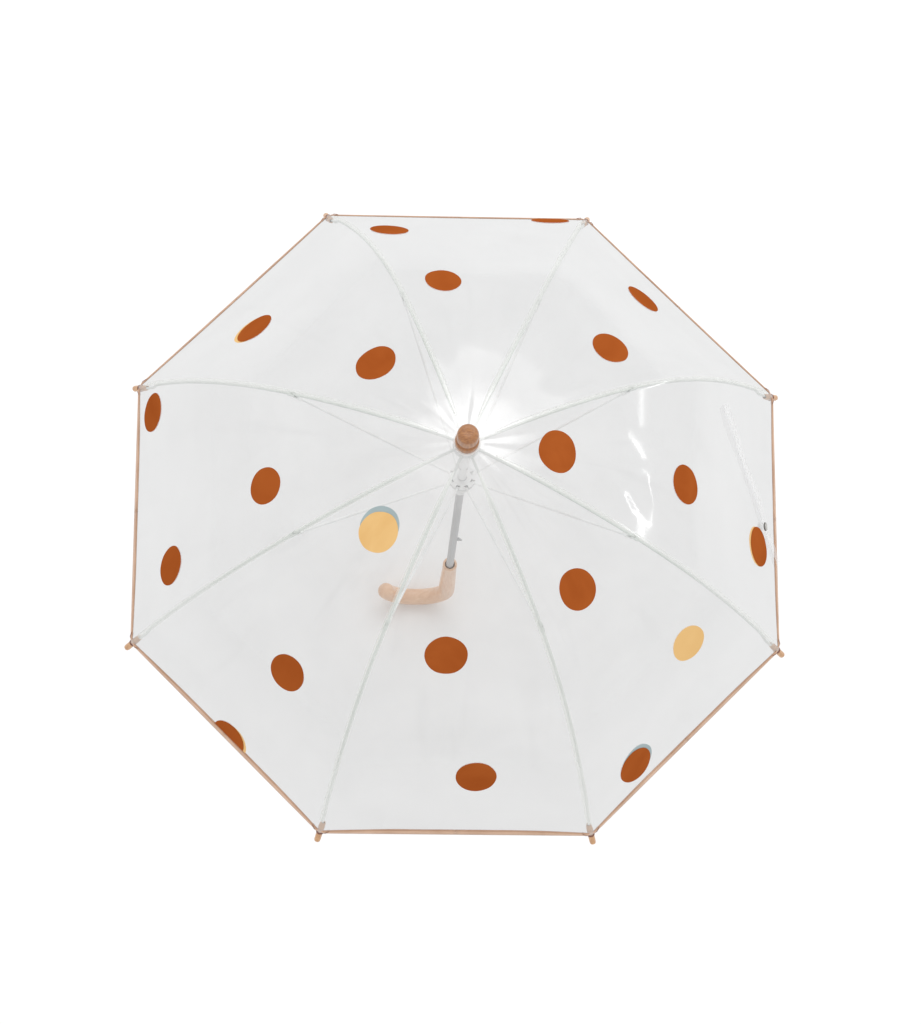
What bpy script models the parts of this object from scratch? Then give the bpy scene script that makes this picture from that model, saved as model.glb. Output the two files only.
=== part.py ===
"""Clear dome umbrella with eight folding ribs, a sliding runner and a wooden J handle.

Metres, +Z up along the shaft. The origin is the hand's place on the shaft's axis,
at the middle of the handle's straight part. The umbrella stands open.

The frame is a linkage: each rib hangs on the crown, and a stretcher of the same length
as the rib's inner part joins it to the runner. Crown and runner carry their pivots at one
radius, so the runner moves straight along the shaft as the ribs fold.
"""

import math

import bmesh
import bpy
from mathutils import Matrix, Vector

# Overall sizes
RIB_COUNT = 8
RIB_STEP = math.tau / RIB_COUNT
HALF_STEP = RIB_STEP / 2
RIM_RADIUS = 0.355
RIM_Z = 0.235
GAP = 0.0003

# Dome profile over a rib, (radius, height over the rim): a Bezier from the hub to the rim
DOME = [(0.012, 0.2545), (0.192, 0.2217), (0.273, 0.155), (RIM_RADIUS, 0.0)]
FILM_THICKNESS = 0.0004
HEM_THICKNESS = 0.0014
HEM_WIDTH = 0.009
FILM_HOLE_RADIUS = 0.0065
FILM_UNDER_WASHER_Z = 0.4893

# Shaft, crown and runner
SHAFT_RADIUS = 0.0041
SHAFT_BORE = 0.0033
SHAFT_BOTTOM_Z = 0.012
SHAFT_TOP_Z = 0.512
SLIDE_BORE = 0.00445
PIVOT_RADIUS = 0.012
CROWN_Z = 0.484
HUB_RADIUS = 0.0132
HUB_SLOT_RADIUS = 0.0093
HUB_SLOT_WIDTH = 0.0034
HUB_PLATE_INNER = 0.003
HUB_PLATE_OUTER = 0.0045
HUB_OPEN_SIDE = 0.004
WIRE_RADIUS = 0.0006
WIRE_GROOVE_RADIUS = 0.0111
WIRE_GROOVE_HALF = 0.0009
RUNNER_TUBE_RADIUS = 0.0054
RUNNER_GRIP_RADIUS = 0.0059
RUNNER_GRIP_HEIGHT = 0.0055
RUNNER_GRIP_EDGE = 0.0005
RUNNER_SHOULDER = 0.0040
RUNNER_FILLET = 0.0012
RUNNER_LENGTH_BELOW_PIVOT = 0.041
# The stop pin crosses the tube along X, in front of the shaft's axis
STOP_PIN_RADIUS = 0.00085
STOP_PIN_Y = -0.0025
STOP_PIN_Z = 0.413
STOP_PIN_HALF_LENGTH = 0.0039

# Ribs and stretchers
RIB_RADIUS = 0.0014
STRETCHER_RADIUS = 0.0013
RIB_DEPTH = 0.0026
RIB_HUB_LEAD = 0.060
JOINT_RADIUS = 0.179
STRETCHER_PIN_DROP = 0.0038
EYE_RADIUS = 0.0024
EYE_HOLE = 0.00105
EYE_WIDTH = 0.0026
TAB_RADIUS = 0.0017
TAB_HOLE = 0.0010
TAB_WIDTH = 0.0016
FORK_RADIUS = 0.0016
FORK_WIDTH = 0.0040
FORK_SLOT = 0.0022
FORK_SLOT_DEPTH = 0.0026
FORK_LENGTH = 0.0055
FORK_PIN = 0.0007
ROD_IN_FORK = 0.0012
ROD_SHORT_OF_PIVOT = 0.0030
RIB_T_START = 0.03

# Rib tips: wooden pegs that point a little outside the film's own direction
TIP_RADIUS = 0.0032
TIP_NECK_RADIUS = 0.0026
TIP_FLARE = math.radians(8)
TIP_DEPTH_AT_RIM = 0.0038
TIP_UNDER_FILM = 0.012
TIP_BEYOND_HEM = 0.015
TIP_BORE_RADIUS = 0.0019
TIP_BORE_DEPTH = 0.0095
# Distance from the rim over which the rib is in line with its tip, and over which it turns there
RIB_STRAIGHT_AT_TIP = 0.017
RIB_TIP_LEAD = 0.030

# Fold, in degrees, at the closed end of the travel
FOLD_DEG = 62.0

# Catches in the shaft: flat face, apex reach and slope, in the plane through +X
CATCH_THICKNESS = 0.0012
CATCH_REACH = 0.0090
CATCH_SLOPE_LENGTH = 0.0130
CATCH_LENGTH = 0.0210
CATCH_PIVOT_X = 0.0015
WINDOW_LENGTH = 0.0170
WINDOW_HALF_WIDTH = 0.0016
WINDOW_CUT_FROM = 0.0030
WINDOW_TOP_BELOW_PIVOT = 0.0175
WINDOW_FREE_PLAY = 0.0005
CATCH_FREE_PLAY = 0.0015
CATCH_SLOT_BELOW = 0.0026
CATCH_SLOT_ABOVE = 0.0022

# Ferrule, washer and press stud
WASHER_RADIUS = 0.0130
WASHER_Z = 0.4904
WASHER_THICKNESS = 0.0012
FERRULE_Z = 0.4919
FERRULE_TOP_Z = 0.5225
FERRULE_FLAT_RADIUS = 0.0050
FERRULE_DOME_Z = 0.5160
FERRULE_DOME_RADIUS = 0.0103
# Down the bulb's side to its groove, then the collar under it: (radius, z)
FERRULE_SIDE = [
    (0.0107, 0.5105),
    (0.0106, 0.5062),
    (0.0102, 0.5048),
    (0.0090, 0.5030),
    (0.0094, 0.5014),
    (0.0110, 0.5008),
    (0.0115, 0.4998),
    (0.0115, FERRULE_Z),
]
STUD_RADIUS = 0.0045
STUD_HEIGHT = 0.0016
STUD_TOP_RADIUS = 0.0022
STUD_STEP_RADIUS = 0.0030
STUD_STEP_WIDTH = 0.0009
STUD_FROM_HEM = 0.0385
# Place of the stud between the last rib and the first, as a share of the way
STUD_ACROSS = 0.440

# Handle: a straight grip, then a hook that turns towards -X
HANDLE_TOP_Z = 0.054
HOOK_RADIUS = 0.034
HOOK_Z = -0.052
HOOK_SWEEP = math.radians(163)
HANDLE_TOP_RADIUS = 0.0076
HANDLE_HOOK_RADIUS = 0.0089


def clear_scene():
    for old in list(bpy.data.objects):
        bpy.data.objects.remove(old, do_unlink=True)


def new_collection(name):
    collection = bpy.data.collections.new(name)
    bpy.context.scene.collection.children.link(collection)
    return collection


clear_scene()
UMBRELLA = new_collection("clear_dome_umbrella")
CUTTERS = new_collection("cutters")


def material(name, color, roughness, metallic=0.0, alpha=1.0):
    made = bpy.data.materials.new(name)
    made.use_nodes = True
    shader = made.node_tree.nodes["Principled BSDF"]
    shader.inputs["Base Color"].default_value = (*color, 1.0)
    shader.inputs["Roughness"].default_value = roughness
    shader.inputs["Metallic"].default_value = metallic
    shader.inputs["Alpha"].default_value = alpha
    made.diffuse_color = (*color, alpha)
    return made


BEECH = material("beech_wood", (0.72, 0.50, 0.31), 0.45)
WHITE_PAINT = material("white_painted_steel", (0.80, 0.80, 0.79), 0.35, 0.2)
WHITE_PLASTIC = material("white_plastic", (0.90, 0.90, 0.88), 0.40)
STEEL = material("steel", (0.55, 0.55, 0.56), 0.30, 1.0)
CLEAR_FILM = material("clear_film", (0.92, 0.94, 0.94), 0.10, 0.0, 0.25)


# The dome and the ribs under it, in the plane of one rib: x is the radius from the shaft


def dome_point(t):
    """Point (x, z) of the film over a rib, for t from 0 at the hub to 1 at the rim."""
    s = 1.0 - t
    weights = (s**3, 3 * s * s * t, 3 * s * t * t, t**3)
    x = sum(w * p[0] for w, p in zip(weights, DOME))
    z = sum(w * p[1] for w, p in zip(weights, DOME))
    return Vector((x, RIM_Z + z))


def dome_normal(t):
    """Unit normal (x, z) of that curve, pointing out of the dome."""
    step = 1e-4
    along = dome_point(min(1.0, t + step)) - dome_point(max(0.0, t - step))
    return Vector((-along.y, along.x)).normalized()


def dome_tangent(t):
    """Unit tangent (x, z) of that curve, towards the rim."""
    normal = dome_normal(t)
    return Vector((normal.y, -normal.x))


def find_t(value):
    """Parameter t where value(t), which rises with t, reaches zero."""
    low, high = 0.0, 1.0
    for _ in range(50):
        middle = (low + high) / 2
        if value(middle) < 0:
            low = middle
        else:
            high = middle
    return low


def smooth(x):
    x = min(1.0, max(0.0, x))
    return x * x * (3 - 2 * x)


def to_rim(t):
    """Straight distance from a dome point to the rim, which is near enough to the arc."""
    return (dome_point(1.0) - dome_point(t)).length


def rib_depth(t):
    """How far the rib's centre line lies under the film."""
    from_hub = (dome_point(t) - dome_point(0.0)).length
    at_hub = DOME[0][1] + RIM_Z - CROWN_Z
    depth = RIB_DEPTH + (at_hub - RIB_DEPTH) * (1 - smooth(from_hub / RIB_HUB_LEAD))
    at_tip = TIP_DEPTH_AT_RIM + to_rim(t) * math.sin(TIP_FLARE)
    share = 1 - smooth((to_rim(t) - RIB_STRAIGHT_AT_TIP) / RIB_TIP_LEAD)
    return depth + (at_tip - depth) * share


def rib_point(t):
    return dome_point(t) - dome_normal(t) * rib_depth(t)


def t_from_rim(distance):
    return find_t(lambda t: distance - to_rim(t))


T_JOINT = find_t(lambda t: dome_point(t).x - JOINT_RADIUS)
CROWN_PIVOT = Vector((PIVOT_RADIUS, CROWN_Z))
FLEX_PIVOT = rib_point(T_JOINT)
STRETCHER_PIVOT = FLEX_PIVOT - dome_normal(T_JOINT) * STRETCHER_PIN_DROP
LINK = STRETCHER_PIVOT - CROWN_PIVOT
RUNNER_PIVOT = Vector((PIVOT_RADIUS, CROWN_Z + 2 * LINK.y))
LINK_ANGLE = math.atan2(-LINK.y, LINK.x)
RUNNER_Z = RUNNER_PIVOT.y
RUNNER_Z_CLOSED = CROWN_Z - 2 * LINK.length * math.sin(LINK_ANGLE + math.radians(FOLD_DEG))


# Making and joining shapes


def add_object(name, mesh, collection=UMBRELLA):
    made = bpy.data.objects.new(name, mesh)
    collection.objects.link(made)
    return made


def evaluated_mesh(source, name):
    """A new mesh with the object's modifiers and its place in the world built in."""
    bpy.context.view_layer.update()
    found = source.evaluated_get(bpy.context.evaluated_depsgraph_get())
    mesh = bpy.data.meshes.new_from_object(found)
    mesh.name = name
    mesh.transform(source.matrix_world)
    return mesh


def welded(mesh):
    """The same mesh with the loose caps of a curve joined on."""
    shape = bmesh.new()
    shape.from_mesh(mesh)
    bmesh.ops.remove_doubles(shape, verts=shape.verts, dist=1e-6)
    shape.to_mesh(mesh)
    shape.free()
    return mesh


def as_cutter(shape):
    shape.hide_render = True
    shape.display_type = "WIRE"
    return shape


def combine(name, base, add=(), cut=()):
    """Union the shapes in add with base, then cut the shapes in cut, and return one mesh."""
    for operation, shapes in (("UNION", add), ("DIFFERENCE", cut)):
        for shape in shapes:
            joined = base.modifiers.new(operation.lower(), "BOOLEAN")
            joined.operation = operation
            joined.solver = "EXACT"
            joined.object = as_cutter(shape)
    mesh = evaluated_mesh(base, name)
    for used in (base, *add, *cut):
        bpy.data.objects.remove(used, do_unlink=True)
    return mesh


def box(low, high):
    """A box between two corners, as a working shape."""
    low, high = Vector(low), Vector(high)
    shape = bmesh.new()
    bmesh.ops.create_cube(shape, size=1.0)
    bmesh.ops.scale(shape, vec=high - low, verts=shape.verts)
    bmesh.ops.translate(shape, vec=(low + high) / 2, verts=shape.verts)
    mesh = bpy.data.meshes.new("box")
    shape.to_mesh(mesh)
    shape.free()
    return add_object("box", mesh, CUTTERS)


def pin(center, radius, width, sides=10):
    """A cylinder along Y at (x, z), centred on the XZ plane, as a working shape."""
    shape = bmesh.new()
    bmesh.ops.create_cone(
        shape, cap_ends=True, segments=sides, radius1=radius, radius2=radius, depth=width
    )
    bmesh.ops.rotate(shape, matrix=Matrix.Rotation(math.pi / 2, 3, "X"), verts=shape.verts)
    bmesh.ops.translate(shape, vec=(center[0], 0, center[1]), verts=shape.verts)
    mesh = bpy.data.meshes.new("pin")
    shape.to_mesh(mesh)
    shape.free()
    return add_object("pin", mesh, CUTTERS)


def bar(center, direction, start, end, height, width):
    """A box of the given height along a direction of the XZ plane, as a working shape."""
    shape = box((start, -width / 2, -height / 2), (end, width / 2, height / 2))
    angle = math.atan2(direction[1], direction[0])
    lean = Matrix.Rotation(-angle, 4, "Y")
    shape.matrix_world = Matrix.Translation((center[0], 0, center[1])) @ lean
    return shape


def plate(rounds, width, sides=10):
    """A plate across Y whose outline is stretched round circles (x, z, radius)."""
    shape = bmesh.new()
    for x, z, radius in rounds:
        for i in range(sides):
            turn = math.tau * i / sides
            for y in (-width / 2, width / 2):
                shape.verts.new((x + radius * math.cos(turn), y, z + radius * math.sin(turn)))
    hull = bmesh.ops.convex_hull(shape, input=shape.verts)
    inside = [v for v in hull["geom_interior"] if isinstance(v, bmesh.types.BMVert)]
    bmesh.ops.delete(shape, geom=inside, context="VERTS")
    mesh = bpy.data.meshes.new("plate")
    shape.to_mesh(mesh)
    shape.free()
    return add_object("plate", mesh, CUTTERS)


def rod(name, points, radii, resolution=2, collection=CUTTERS):
    """A round rod through points, with a radius at each, and closed ends."""
    data = bpy.data.curves.new(name, "CURVE")
    data.dimensions = "3D"
    data.bevel_depth = 1.0
    data.bevel_resolution = resolution
    data.use_fill_caps = True
    spline = data.splines.new("POLY")
    spline.points.add(len(points) - 1)
    for target, place, radius in zip(spline.points, points, radii):
        target.co = (*place, 1.0)
        target.radius = radius
    curve = add_object(name, data, CUTTERS)
    mesh = welded(evaluated_mesh(curve, name))
    bpy.data.objects.remove(curve, do_unlink=True)
    return add_object(name, mesh, collection)


def turned(name, outline, sides=24):
    """A solid of revolution about Z from an outline of (radius, z), down its outer side."""
    shape = bmesh.new()
    corners = [shape.verts.new((r, 0, z)) for r, z in outline]
    for first, second in zip(corners, corners[1:]):
        shape.edges.new((first, second))
    if outline[0][0] > 0:
        shape.edges.new((corners[-1], corners[0]))
    mesh = bpy.data.meshes.new(name)
    shape.to_mesh(mesh)
    shape.free()
    made = add_object(name, mesh, CUTTERS)
    screw = made.modifiers.new("turn", "SCREW")
    screw.steps = sides
    screw.render_steps = sides
    screw.use_merge_vertices = True
    screw.merge_threshold = 0.00001
    screw.use_smooth_shade = True
    return made


def prism(name, outline, thickness):
    """A plate in the XZ plane from a closed outline of (x, z)."""
    data = bpy.data.curves.new(name, "CURVE")
    data.dimensions = "2D"
    data.fill_mode = "BOTH"
    data.extrude = thickness / 2
    spline = data.splines.new("POLY")
    spline.points.add(len(outline) - 1)
    spline.use_cyclic_u = True
    for target, (x, z) in zip(spline.points, outline):
        target.co = (x, z, 0, 1)
    flat = add_object(name, data, CUTTERS)
    flat.rotation_euler = (math.pi / 2, 0, 0)
    mesh = welded(evaluated_mesh(flat, name))
    bpy.data.objects.remove(flat, do_unlink=True)
    return mesh


FRAME = bpy.data.objects.new("umbrella_frame", None)
UMBRELLA.objects.link(FRAME)


def place(name, mesh, finish, origin=(0, 0), azimuth=0.0, sharp=35):
    """Put a mesh, made in the plane of azimuth 0, at an azimuth, with its origin at (x, z)."""
    made = add_object(name, mesh)
    made.location = (origin[0] * math.cos(azimuth), origin[0] * math.sin(azimuth), origin[1])
    made.rotation_euler = (0, 0, azimuth)
    made.parent = FRAME
    if not mesh.materials:
        mesh.materials.append(finish)
    mesh.shade_smooth()
    mesh.set_sharp_from_angle(angle=math.radians(sharp))
    return made


def about(mesh, origin):
    """Move a mesh so that (x, z) becomes its own origin."""
    mesh.transform(Matrix.Translation((-origin[0], 0, -origin[1])))
    return mesh


# Root pieces: handle, shaft, stop pin, crown, washer and ferrule


def handle_path():
    """Centre line of the handle, from its top end down and round the hook, with radii."""
    points, radii = [], []
    straight_steps, hook_steps = 4, 16
    for i in range(straight_steps):
        z = HANDLE_TOP_Z + (HOOK_Z - HANDLE_TOP_Z) * i / straight_steps
        points.append((0, 0, z))
        growth = (HANDLE_HOOK_RADIUS - HANDLE_TOP_RADIUS) * smooth(i / straight_steps)
        radii.append(HANDLE_TOP_RADIUS + growth)
    for i in range(hook_steps + 1):
        turn = HOOK_SWEEP * i / hook_steps
        x = -HOOK_RADIUS * (1 - math.cos(turn))
        points.append((x, 0, HOOK_Z - HOOK_RADIUS * math.sin(turn)))
        radii.append(HANDLE_HOOK_RADIUS)
    end, before = Vector(points[-1]), Vector(points[-2])
    along = (end - before).normalized()
    for degrees in (30, 55, 75):
        lean = math.radians(degrees)
        points.append(tuple(end + along * HANDLE_HOOK_RADIUS * math.sin(lean)))
        radii.append(HANDLE_HOOK_RADIUS * math.cos(lean))
    return points, radii


def make_handle():
    points, radii = handle_path()
    body = rod("handle", points, radii, resolution=3)
    radius, over, floor = SHAFT_RADIUS + GAP, HANDLE_TOP_Z + 0.001, SHAFT_BOTTOM_Z - GAP
    socket = turned("socket", [(0, over), (radius, over), (radius, floor), (0, floor)])
    place("handle", combine("handle", body, cut=[socket]), BEECH)


def stop_pin_shape(radius, half_length):
    """A cylinder along X where the stop pin sits, as a working shape."""
    cross = pin((0, 0), radius, 2 * half_length, sides=12)
    turn = Matrix.Rotation(math.pi / 2, 4, "Z")
    cross.matrix_world = Matrix.Translation((0, STOP_PIN_Y, STOP_PIN_Z)) @ turn
    return cross


def make_shaft():
    tube = turned(
        "shaft",
        [
            (SHAFT_RADIUS, SHAFT_TOP_Z),
            (SHAFT_RADIUS, SHAFT_BOTTOM_Z),
            (SHAFT_BORE, SHAFT_BOTTOM_Z),
            (SHAFT_BORE, SHAFT_TOP_Z),
        ],
    )
    half = CATCH_THICKNESS / 2 + GAP
    cuts = [stop_pin_shape(STOP_PIN_RADIUS + GAP, 2 * SHAFT_RADIUS)]
    for flat_z, side in ((LOWER_FLAT_Z, 1), (UPPER_FLAT_Z, -1)):
        below_flat = flat_z - side * CATCH_SLOT_BELOW
        past_slope = flat_z + side * (CATCH_SLOPE_LENGTH + CATCH_SLOT_ABOVE)
        low, high = sorted((below_flat, past_slope))
        cuts.append(box((0.001, -half, low), (2 * SHAFT_RADIUS, half, high)))
    place("shaft", combine("shaft", tube, cut=cuts), WHITE_PAINT)


def make_stop_pin():
    cross = stop_pin_shape(STOP_PIN_RADIUS, STOP_PIN_HALF_LENGTH)
    place("stop_pin", combine("stop_pin", cross), STEEL)


def hub_slots(z, open_side):
    """Radial slots for the links, open towards open_side (+1 up, -1 down) from height z."""
    low, high = sorted((-open_side * HUB_PLATE_INNER, open_side * 2 * HUB_OPEN_SIDE))
    half = HUB_SLOT_WIDTH / 2
    slots = []
    for i in range(RIB_COUNT):
        slot = box((HUB_SLOT_RADIUS, -half, low), (2 * HUB_RADIUS, half, high))
        turn = Matrix.Rotation(HALF_STEP + i * RIB_STEP, 4, "Z")
        slot.matrix_world = Matrix.Translation((0, 0, z)) @ turn
        slots.append(slot)
    return slots


def make_crown():
    top, bottom = CROWN_Z + HUB_PLATE_OUTER, CROWN_Z - HUB_OPEN_SIDE
    disc = turned(
        "crown",
        [
            (HUB_RADIUS, top),
            (HUB_RADIUS, CROWN_Z + WIRE_GROOVE_HALF),
            (WIRE_GROOVE_RADIUS, CROWN_Z + WIRE_GROOVE_HALF),
            (WIRE_GROOVE_RADIUS, CROWN_Z - WIRE_GROOVE_HALF),
            (HUB_RADIUS, CROWN_Z - WIRE_GROOVE_HALF),
            (HUB_RADIUS, bottom),
            (SLIDE_BORE, bottom),
            (SLIDE_BORE, top),
        ],
        sides=24,
    )
    place("crown", combine("crown", disc, cut=hub_slots(CROWN_Z, -1)), WHITE_PLASTIC)


def wire_ring(name, z):
    """The wire that threads the eyes of eight links, as a closed ring at height z."""
    bpy.ops.mesh.primitive_torus_add(
        major_radius=PIVOT_RADIUS,
        minor_radius=WIRE_RADIUS,
        major_segments=32,
        minor_segments=6,
        location=(0, 0, z),
    )
    ring = bpy.context.object
    mesh = evaluated_mesh(ring, name)
    bpy.data.objects.remove(ring, do_unlink=True)
    place(name, mesh, STEEL)


def make_top_washer():
    top = WASHER_Z + WASHER_THICKNESS
    washer = turned(
        "top_washer",
        [(WASHER_RADIUS, top), (WASHER_RADIUS, WASHER_Z), (SLIDE_BORE, WASHER_Z), (SLIDE_BORE, top)],
    )
    place("top_washer", combine("top_washer", washer), WHITE_PLASTIC)


def make_ferrule():
    """The turned wooden end: a collar, a groove and a blunt bulb with a flat on its end."""
    outline = [(0, FERRULE_TOP_Z), (FERRULE_FLAT_RADIUS, FERRULE_TOP_Z)]
    steps = 5
    for i in range(1, steps + 1):
        turn = math.pi / 2 * i / steps
        bulge = (FERRULE_DOME_RADIUS - FERRULE_FLAT_RADIUS) * math.sin(turn)
        height = (FERRULE_TOP_Z - FERRULE_DOME_Z) * math.cos(turn)
        outline.append((FERRULE_FLAT_RADIUS + bulge, FERRULE_DOME_Z + height))
    outline += FERRULE_SIDE
    bore_top = SHAFT_TOP_Z + GAP
    outline += [(SLIDE_BORE, FERRULE_Z), (SLIDE_BORE, bore_top), (0, bore_top)]
    body = turned("ferrule", outline)
    place("ferrule", combine("ferrule", body), BEECH)


# Runner and the two catches


def make_runner():
    top, tube_top = RUNNER_Z + HUB_OPEN_SIDE, RUNNER_Z - HUB_PLATE_OUTER
    bottom = RUNNER_Z - RUNNER_LENGTH_BELOW_PIVOT
    body = turned(
        "runner",
        [
            (HUB_RADIUS, top),
            (HUB_RADIUS, RUNNER_Z + WIRE_GROOVE_HALF),
            (WIRE_GROOVE_RADIUS, RUNNER_Z + WIRE_GROOVE_HALF),
            (WIRE_GROOVE_RADIUS, RUNNER_Z - WIRE_GROOVE_HALF),
            (HUB_RADIUS, RUNNER_Z - WIRE_GROOVE_HALF),
            (HUB_RADIUS, tube_top),
            (RUNNER_TUBE_RADIUS + RUNNER_FILLET, tube_top - RUNNER_SHOULDER),
            (RUNNER_TUBE_RADIUS, tube_top - RUNNER_SHOULDER - 5 * RUNNER_FILLET),
            (RUNNER_TUBE_RADIUS, bottom + RUNNER_GRIP_HEIGHT + RUNNER_GRIP_EDGE),
            (RUNNER_GRIP_RADIUS, bottom + RUNNER_GRIP_HEIGHT),
            (RUNNER_GRIP_RADIUS, bottom + RUNNER_GRIP_EDGE),
            (RUNNER_GRIP_RADIUS - RUNNER_GRIP_EDGE, bottom),
            (SLIDE_BORE, bottom),
            (SLIDE_BORE, top),
        ],
    )
    window_top = RUNNER_Z - WINDOW_TOP_BELOW_PIVOT
    window = box(
        (WINDOW_CUT_FROM, -WINDOW_HALF_WIDTH, window_top - WINDOW_LENGTH),
        (2 * HUB_RADIUS, WINDOW_HALF_WIDTH, window_top),
    )
    mesh = combine("runner", body, cut=hub_slots(RUNNER_Z, 1) + [window])
    place("runner", mesh, WHITE_PLASTIC)


LOWER_FLAT_Z = RUNNER_Z_CLOSED + HUB_OPEN_SIDE + CATCH_FREE_PLAY
UPPER_FLAT_Z = RUNNER_Z - WINDOW_TOP_BELOW_PIVOT - WINDOW_FREE_PLAY


def make_catch(name, flat_z, side):
    """A sprung plate with a flat face at flat_z and a slope on its side (+1 above it)."""
    outline = [
        (0.0022, 0.0),
        (CATCH_REACH, 0.0),
        (CATCH_REACH, 0.0015),
        (0.0028, CATCH_SLOPE_LENGTH + 0.0016),
        (0.0024, CATCH_LENGTH + 0.002),
        (0.0006, CATCH_LENGTH + 0.002),
    ]
    points = [(x, flat_z + side * z) for x, z in outline]
    if side < 0:
        points.reverse()
    pivot = (CATCH_PIVOT_X, flat_z + side * CATCH_LENGTH)
    place(name, about(prism(name, points, CATCH_THICKNESS), pivot), STEEL, origin=pivot)


# Ribs, stretchers and tips, made once in the plane of azimuth 0


def eye(center):
    return pin(center, EYE_RADIUS, EYE_WIDTH)


def with_fork(name, link, center, direction, cut=()):
    """Join a fork to a link's rod: the block and its slot first, then the pin across it."""
    root = center + direction * FORK_LENGTH
    block = plate([(*center, FORK_RADIUS), (*root, FORK_RADIUS)], FORK_WIDTH)
    slot = bar(center, direction, -2 * FORK_RADIUS, FORK_SLOT_DEPTH, 4 * FORK_RADIUS, FORK_SLOT)
    forked = add_object(name, combine(name, block, cut=[slot]), CUTTERS)
    across = pin(center, FORK_PIN, FORK_WIDTH - 2 * GAP, sides=8)
    return combine(name, forked, add=[across, link], cut=cut)


def along_rib(start, end, count):
    """Centre-line points of the rib between two parameters, in space."""
    steps = [start + (end - start) * i / (count - 1) for i in range(count)]
    return [(p.x, 0, p.y) for p in map(rib_point, steps)]


def rib_inner_mesh():
    """The inner rib: an eye at the crown and a drilled tab at its outer end."""
    tangent = dome_tangent(T_JOINT)
    rod_end = FLEX_PIVOT - tangent * ROD_SHORT_OF_PIVOT
    tab_root = FLEX_PIVOT - tangent * FORK_LENGTH
    points = [(CROWN_PIVOT.x + 0.0016, 0, CROWN_PIVOT.y)]
    points += along_rib(RIB_T_START, T_JOINT, 7)[:-1]
    points.append((rod_end.x, 0, rod_end.y))
    body = rod("rib_inner", points, [RIB_RADIUS] * len(points))
    tab = plate(
        [
            (*FLEX_PIVOT, TAB_RADIUS),
            (*STRETCHER_PIVOT, TAB_RADIUS),
            (*tab_root, RIB_RADIUS / 2),
        ],
        TAB_WIDTH,
    )
    holes = [
        pin(FLEX_PIVOT, TAB_HOLE, 2 * TAB_WIDTH, sides=8),
        pin(STRETCHER_PIVOT, TAB_HOLE, 2 * TAB_WIDTH, sides=8),
        pin(CROWN_PIVOT, EYE_HOLE, 2 * EYE_WIDTH, sides=8),
    ]
    return combine("rib_inner", body, add=[eye(CROWN_PIVOT), tab], cut=holes)


def rib_outer_mesh():
    """The outer rib: a fork on the inner rib's tab, then the bent rod into the tip's bore."""
    tangent = dome_tangent(T_JOINT)
    start = FLEX_PIVOT + tangent * (FORK_LENGTH - ROD_IN_FORK)
    t_start = find_t(lambda t: dome_point(t).x - start.x) + 0.02
    t_lead = t_from_rim(RIB_STRAIGHT_AT_TIP + RIB_TIP_LEAD)
    t_tip = t_from_rim(RIB_STRAIGHT_AT_TIP)
    t_end = t_from_rim(TIP_UNDER_FILM - TIP_BORE_DEPTH + 2 * GAP)
    points = [(start.x, 0, start.y)] + along_rib(t_start, t_lead, 8)[:-1]
    points += along_rib(t_lead, t_tip, 4) + along_rib(t_tip, t_end, 2)[1:]
    body = rod("rib_outer", points, [RIB_RADIUS] * len(points))
    return with_fork("rib_outer", body, FLEX_PIVOT, tangent)


def stretcher_mesh():
    """The stretcher: an eye at the runner and a fork at the rib."""
    along = (RUNNER_PIVOT - STRETCHER_PIVOT).normalized()
    start = STRETCHER_PIVOT + along * (FORK_LENGTH - ROD_IN_FORK)
    end = RUNNER_PIVOT - along * (EYE_RADIUS - 0.0008)
    points = [(start.x, 0, start.y), (end.x, 0, end.y)]
    body = rod("stretcher", points, [STRETCHER_RADIUS] * 2)
    eyed = add_object("stretcher", combine("stretcher", body, add=[eye(RUNNER_PIVOT)]), CUTTERS)
    hole = pin(RUNNER_PIVOT, EYE_HOLE, 2 * EYE_WIDTH, sides=8)
    return with_fork("stretcher", eyed, STRETCHER_PIVOT, along, cut=[hole])


def tip_mesh():
    """A turned wooden peg, bored for the rib's end, in line with the rib's last stretch."""
    length = TIP_UNDER_FILM + TIP_BEYOND_HEM
    round_start = length - 0.0022
    outline = [
        (0, length),
        (TIP_RADIUS * 0.62, length),
        (TIP_RADIUS * 0.92, length - 0.0009),
        (TIP_RADIUS, round_start),
        (TIP_RADIUS, 0.005),
        (TIP_NECK_RADIUS, 0),
        (TIP_BORE_RADIUS, 0),
        (TIP_BORE_RADIUS, TIP_BORE_DEPTH),
        (0, TIP_BORE_DEPTH),
    ]
    peg = turned("tip", outline, sides=10)
    angle = math.atan2(dome_tangent(1.0).x, dome_tangent(1.0).y) - TIP_FLARE
    direction = Vector((math.sin(angle), math.cos(angle)))
    start = rib_point(1.0) - direction * TIP_UNDER_FILM
    peg.matrix_world = Matrix.Translation((start.x, 0, start.y)) @ Matrix.Rotation(angle, 4, "Y")
    return combine("tip", peg)


# The film: eight gores are welded over the ribs, and each gore's cross-section is straight


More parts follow.
